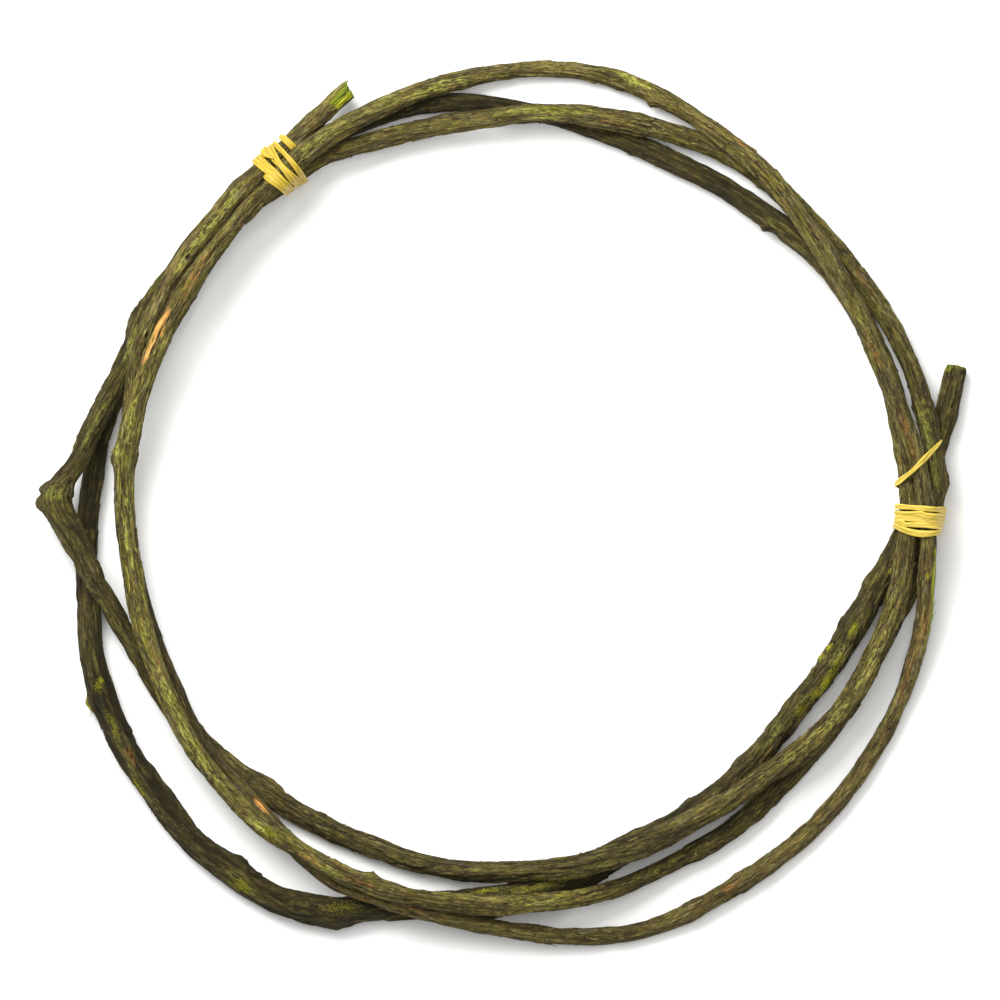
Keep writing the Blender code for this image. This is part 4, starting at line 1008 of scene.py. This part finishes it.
fibre_spots = np.array([on_bark(*fibre[:3]) for fibre in FIBRES])
fibre_shape = np.array([fibre[3:] for fibre in FIBRES])
STRAYS = 30
FIBRE_WIDTH = 0.42
FIBRE_THICKNESS = 0.36
strays = np.column_stack([
    dice.uniform(5.0, stem_length - 5.0, STRAYS), dice.uniform(0.0, math.pi, STRAYS),
    dice.uniform(3.0, 7.0, STRAYS) * dice.choice([-1, 1], STRAYS), dice.uniform(0.1, 0.5, STRAYS),
    dice.normal(0, 1.0, STRAYS), np.zeros(STRAYS),
])
strays = strays[np.abs(strays[:, 0] - elbow_place) > CLEAR_OF_ELBOW]
fibre_rows = np.concatenate([np.column_stack([fibre_spots, fibre_shape]), strays])
place, angle, length, lift, sideways, green = fibre_rows.T
fibres = put_slivers(
    "torn_fibres", place, angle, length, FIBRE_WIDTH + 0 * place, FIBRE_THICKNESS + 0 * place,
    lift, sideways, green, 1.0,
)
for grown in (moss, flakes, fibres):
    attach(grown, "root")
    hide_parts("vine_stem")

# The raffia ties
# A strip of dried palm leaf, dampened, folded on itself to a narrow strand and wound
# tightly round the bundle, about five times at each tie. It dries hard and keeps its folds.

SIDES_A_TURN = 64
BUNDLE_REACH = 34.0
STRAND_HALF_WIDTH = 1.45
STRAND_HALF_THICKNESS = 0.7
STRAND_STEP = 0.5


def strands_at(middle, along, across, place, nearest, furthest):
    """The ellipses in which a plane across the bundle cuts
    the passes of the stem, between two reaches across.

    Each has its middle across the bundle and up, and its half width and half height. A
    pass that runs aslant is cut as much wider as it gets on more slowly along the bundle.
    """
    rows = np.column_stack([(route[:, :2] - middle) @ across, height, route[:, 2]])
    ahead = (route[:, :2] - middle) @ along - place
    k = np.nonzero(ahead[:-1] * ahead[1:] < 0)[0]
    gained = ahead[k + 1] - ahead[k]
    share = (-ahead[k] / gained)[:, None]
    u, z, radius = (rows[k] * (1 - share) + rows[k + 1] * share).T
    cuts = np.column_stack([u, z, radius * ROUTE_STEP / np.abs(gained), radius])
    return cuts[(u > nearest) & (u < furthest)]


def winding(middle, heading, edges, sags=(), lifts=(), nearest=-BUNDLE_REACH, furthest=BUNDLE_REACH,
            start=0.0, off=0.35):
    """The line of a strand wound round the bundle, with
    the directions across its width and out of the bundle.

    At each place the strand touches the hull of the passes where the hull faces its direction. Edges are how
    far along the bundle it is at each edge in turn, from a start given in half turns. In between it gets on
    along the bundle as it does across it, which keeps it straight. A sag or a lift is for a half turn: how
    far it droops along the bundle, and how far it rides over other strands. The strand stays off the bark by
    a gap.
    """
    middle = np.array(middle) - MIDDLE
    along = np.array([math.cos(math.radians(heading)), math.sin(math.radians(heading))])
    across = np.array([along[1], -along[0]])
    gap = off + STRAND_HALF_THICKNESS
    turned = np.linspace(start, len(edges) - 1, (len(edges) - 1) * SIDES_A_TURN // 2 + 1)
    half_turn = np.minimum(turned.astype(int), len(edges) - 2)
    outward = np.column_stack([np.cos(np.pi * turned), np.sin(np.pi * turned)])
    edges = np.array(edges)
    sag, lift = np.zeros(len(edges)), np.zeros(len(edges))
    for values, given in ((sag, sags), (lift, lifts)):
        for number, value in given:
            values[number] = value
    share = (1 - np.cos(np.pi * (turned - half_turn))) / 2
    for _ in range(3):
        line = []
        for place, out in zip(edges[half_turn] + (edges[half_turn + 1] - edges[half_turn]) * share, outward):
            strands = strands_at(middle, along, across, place, nearest, furthest)
            support = np.hypot(*(strands[:, 2:] * out).T)
            outer = np.argmax(strands[:, :2] @ out + support)
            u, z = strands[outer, :2] + strands[outer, 2:] ** 2 * out / support[outer] + gap * out
            line.append((*(middle + along * place + across * u), z, *(across * out[0]), out[1], u))
        line = np.array(line)
        for number in range(len(edges) - 1):
            own = np.nonzero(half_turn == number)[0]
            gone = np.abs(line[own, 6] - line[own[0], 6])
            share[own] = np.clip(gone / max(gone[-1], 1.0), 0, 0.999)
    line[:, 2] = np.maximum(line[:, 2], STRAND_HALF_THICKNESS)
    line[:, 6] = half_turn + share
    run = np.concatenate([[0.0], np.cumsum(np.linalg.norm(np.diff(line[:, :3], axis=0), axis=1))])
    places = np.arange(0.0, run[-1], STRAND_STEP)
    line = np.column_stack([np.interp(places, run, column) for column in line.T])
    half_turn = line[:, 6].astype(int)
    way = np.sin(np.pi * (line[:, 6] - half_turn))
    line[:, :2] += (sag[half_turn] * way)[:, None] * along
    line = line[:, :6]
    line[:, :3] += (lift[half_turn] * way)[:, None] * line[:, 3:]
    soft = np.exp(-((np.arange(-4, 5) / 2.0) ** 2))
    soft /= soft.sum()
    padded = np.pad(line, ((4, 4), (0, 0)), mode="edge")
    return np.column_stack([np.convolve(column, soft, mode="valid") for column in padded.T]), places


SECTION_SIDES = 20


def raffia_strand(line, places, seed, taper_start, taper_end, girth=1.0):
    """A folded strip along a line: its section is a flat oval with a crease on top, turned a little by noise.

    The half width and thickness, times the girth, swell and shrink by
    noise, and taper to a point over the first and last millimetres given.
    """
    middle, out = line[:, :3], line[:, 3:]
    tangent = np.gradient(middle, axis=0)
    tangent /= np.linalg.norm(tangent, axis=1)[:, None]
    out = out - (out * tangent).sum(axis=1)[:, None] * tangent
    out /= np.linalg.norm(out, axis=1)[:, None]
    wide = np.cross(tangent, out)
    wobble = [value_noise(places / length, 0 * places, 1, seed + k) for k, length in enumerate((13, 7, 5, 3))]
    roll = 0.35 * wobble[0]
    out, wide = (np.cos(roll)[:, None] * out + np.sin(roll)[:, None] * wide,
                 np.cos(roll)[:, None] * wide - np.sin(roll)[:, None] * out)
    taper = np.clip(places / max(taper_start, 0.1), 0.12, 1) * np.clip(
        (places[-1] - places) / max(taper_end, 0.1), 0.12, 1)
    half_width = girth * STRAND_HALF_WIDTH * (1 + 0.22 * wobble[1]) * np.sqrt(taper)
    half_thickness = girth * STRAND_HALF_THICKNESS * (1 + 0.22 * wobble[2]) * np.sqrt(taper)
    angle = np.arange(SECTION_SIDES) / SECTION_SIDES * 2 * math.pi
    across, up = np.cos(angle), np.sin(angle)
    folded = value_noise(places[:, None] / 9, 3 + 2.2 * across[None] + 0 * places[:, None], 97, seed + 9)
    crease = np.exp(-(((across[None] - 0.35 * wobble[3][:, None]) / 0.28) ** 2))
    lift = up[None] * (1 + 0.30 * folded) - 0.42 * crease * (up[None] > 0)
    points = (middle[:, None] + (half_width[:, None] * across[None])[..., None] * wide[:, None]
              + (half_thickness[:, None] * lift)[..., None] * out[:, None])
    strip = np.stack([np.broadcast_to(places[:, None], lift.shape), half_width[:, None] * across[None],
                      np.full(lift.shape, float(seed))], axis=-1)
    # Painted shade: the crease on top and the flanks and underside of the strip get a share that darkens its
    # colour.
    shaded = np.maximum(crease * (up[None] > 0), 1.3 * np.clip(0.35 - up[None], 0, 1))
    return points, {"strip_mm": strip.reshape(-1, 3), "crease": np.clip(shaded, 0, 1).reshape(-1, 1)}


def joined_tubes(tubes):
    """The points, faces and attributes of several closed tubes as those of one mesh."""
    all_points, all_quads, all_triangles, all_finish = [], [], [], []
    count = 0
    for points, finish in tubes:
        quads, triangles = tube_faces(*points.shape[:2])
        points, finish = with_caps(points, finish)
        all_points.append(points)
        all_quads.append(quads + count)
        all_triangles.append(triangles + count)
        all_finish.append(finish)
        count += len(points)
    finish = {title: np.concatenate([f[title] for f in all_finish]) for title in all_finish[0]}
    return np.concatenate(all_points), np.concatenate(all_quads), np.concatenate(all_triangles), finish


def raffia(name, shadow, body, shine):
    """Dried palm leaf: straw yellow with fine lengthwise fibres and a satin skin,
    with painted shade in its crease and on its flanks and underside, where strands press together."""
    material = bpy.data.materials.new(name)
    material.use_nodes = True
    tree = material.node_tree
    shader = tree.nodes["Principled BSDF"]
    strip = add_node(tree, "ShaderNodeAttribute", attribute_name="strip_mm").outputs["Vector"]
    crease = add_node(tree, "ShaderNodeAttribute", attribute_name="crease").outputs["Fac"]
    fibres = add_node(tree, "ShaderNodeMapping", {"Vector": strip, "Scale": (1 / 14.0, 1 / 0.22, 1.0)})
    fibre = add_node(tree, "ShaderNodeTexNoise", {"Vector": fibres.outputs[0], "Scale": 1.0, "Detail": 2.0})
    stains = add_node(tree, "ShaderNodeMapping", {"Vector": strip, "Scale": (1 / 9.0, 1 / 2.0, 1.0)})
    stain = add_node(tree, "ShaderNodeTexNoise", {"Vector": stains.outputs[0], "Scale": 1.0, "Detail": 3.0})
    fibre_share = add_node(tree, "ShaderNodeMapRange", {0: fibre.outputs[0], 1: 0.3, 2: 0.7}).outputs[0]
    stain_range = {0: stain.outputs[0], 1: 0.35, 2: 0.7, 4: 0.5}
    stain_share = add_node(tree, "ShaderNodeMapRange", stain_range).outputs[0]
    colour = mixed(tree, fibre_share, body, shine)
    colour = mixed(tree, stain_share, colour, body)
    # Painted shade: the crease share mixes in the shadow colour.
    folded = add_node(tree, "ShaderNodeMath", {0: crease, 1: 0.65}, operation="MULTIPLY").outputs[0]
    colour = mixed(tree, folded, colour, shadow)
    tree.links.new(colour, shader.inputs["Base Color"])
    shader.inputs["Roughness"].default_value = 0.5
    shader.inputs["Specular IOR Level"].default_value = 0.4
    bump = add_node(tree, "ShaderNodeBump", {"Strength": 0.5, "Distance": 0.00015, "Height": fibre_share})
    tree.links.new(bump.outputs[0], shader.inputs["Normal"])
    return material


LEFT_TIE_HEADING = 225.0
left_winding = winding(
    LEFT_TIE_MIDDLE, LEFT_TIE_HEADING,
    edges=[-7.3, -5.1, -1.9, -2.9, 2.6, 2.8, 5.6, 4.6, -4.9, -0.2],
    sags=((0, -0.8), (2, 0.6), (8, 0.8)), lifts=((4, 0.4), (8, 1.1),),
)
left_over_tip = winding(
    LEFT_TIE_MIDDLE, LEFT_TIE_HEADING, edges=[-12.4, -13.1, -12.2, -12.8], nearest=3.0,
)
left_inner_turn = winding(
    LEFT_TIE_MIDDLE, LEFT_TIE_HEADING, edges=[7.4, 5.6, 7.6], furthest=3.0,
)
fold_line, fold_places = winding(
    LEFT_TIE_MIDDLE, LEFT_TIE_HEADING, edges=[-1.2, -4.4], start=0.04, off=1.5,
)
folded_end = slice(0, 24)  # the strand's end, folded back under the others into a fat loop
left_tie = put_mesh("raffia_tie_left_strands", *joined_tubes([
    raffia_strand(*left_winding, 41, 3.0, 5.0),
    raffia_strand(fold_line[folded_end], fold_places[folded_end], 71, 2.4, 6.0, girth=1.9),
    raffia_strand(*left_over_tip, 61, 3.0, 3.0),
    raffia_strand(*left_inner_turn, 81, 3.0, 3.0),
]))
left_tie.data.materials.append(raffia("raffia_straw_yellow", "806410", "B0921E", "D0B83C"))
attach(left_tie, "root")
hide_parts("raffia_tie_left")

RIGHT_TIE_HEADING = 90.0
right_winding = winding(
    RIGHT_TIE_MIDDLE, RIGHT_TIE_HEADING,
    edges=[38.4, 16.5, 3.4, 5.4, 0.0, 2.0, -1.8, -0.4, -4.8, -2.2, -7.4, -4.6, -7.0],
    sags=((10, -2.2), (0, -1.2)), lifts=((4, 0.5), (8, 0.5)), start=0.167,
)
right_tie = put_mesh("raffia_tie_right_strands", *joined_tubes([
    raffia_strand(*right_winding, 101, 14.0, 4.0),
]))
right_tie.data.materials.append(raffia("raffia_pale_straw", "866C18", "BFA232", "DEC855"))
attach(right_tie, "root")
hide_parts("raffia_tie_right")

# The table, the light and the camera
# A plain pale table with a wide soft light above the far side, a weaker one beside it, and a pale room all
# round. The camera looks straight down from far off through a long lens, which leaves no perspective to see.

FLOOR_SIZE = 6.0
FLOOR_LEVEL = -0.0002
bpy.ops.mesh.primitive_plane_add(size=FLOOR_SIZE, location=(0.0, 0.0, FLOOR_LEVEL))
floor = bpy.context.object
floor.name = "table"
paper = bpy.data.materials.new("matt_white_paper")
paper.use_nodes = True
paper_shader = paper.node_tree.nodes["Principled BSDF"]
paper_shader.inputs["Base Color"].default_value = hex_to_linear("F6F6F4")
paper_shader.inputs["Roughness"].default_value = 0.9
paper_shader.inputs["Specular IOR Level"].default_value = 0.0
floor.data.materials.append(paper)


def soft_light(name, place, size, watts):
    """A square soft box that faces the middle of the ring."""
    lamp = bpy.data.lights.new(name, "AREA")
    lamp.shape = "SQUARE"
    lamp.size = size
    lamp.energy = watts
    light = bpy.data.objects.new(name, lamp)
    light.location = place
    x, y, z = place
    light.rotation_euler = (math.atan2(math.hypot(x, y), z), 0.0, math.atan2(y, x) + math.pi / 2)
    bpy.context.scene.collection.objects.link(light)


soft_light("window_light", (-1.0, 1.5, 2.0), 1.6, 104.0)
soft_light("overhead_light", (0.2, 0.3, 2.2), 1.2, 16.0)

ROOM_STRENGTH = 0.57
room = bpy.data.worlds.new("pale_room")
room.use_nodes = True
room.node_tree.nodes["Background"].inputs["Color"].default_value = (1.0, 1.0, 1.0, 1.0)
room.node_tree.nodes["Background"].inputs["Strength"].default_value = ROOM_STRENGTH
bpy.context.scene.world = room
bpy.context.scene.view_settings.view_transform = "Standard"

CAMERA_HEIGHT = 11.12
LENS_LENGTH_MM = 800.0
SENSOR_WIDTH_MM = 36.0
PHOTO_MIDDLE = (-MIDDLE[0] * MM, -MIDDLE[1] * MM)
lens = bpy.data.cameras.new("camera")
lens.lens = LENS_LENGTH_MM
lens.sensor_width = SENSOR_WIDTH_MM
camera = bpy.data.objects.new("camera", lens)
camera.location = (*PHOTO_MIDDLE, CAMERA_HEIGHT)
bpy.context.scene.collection.objects.link(camera)
bpy.context.scene.camera = camera
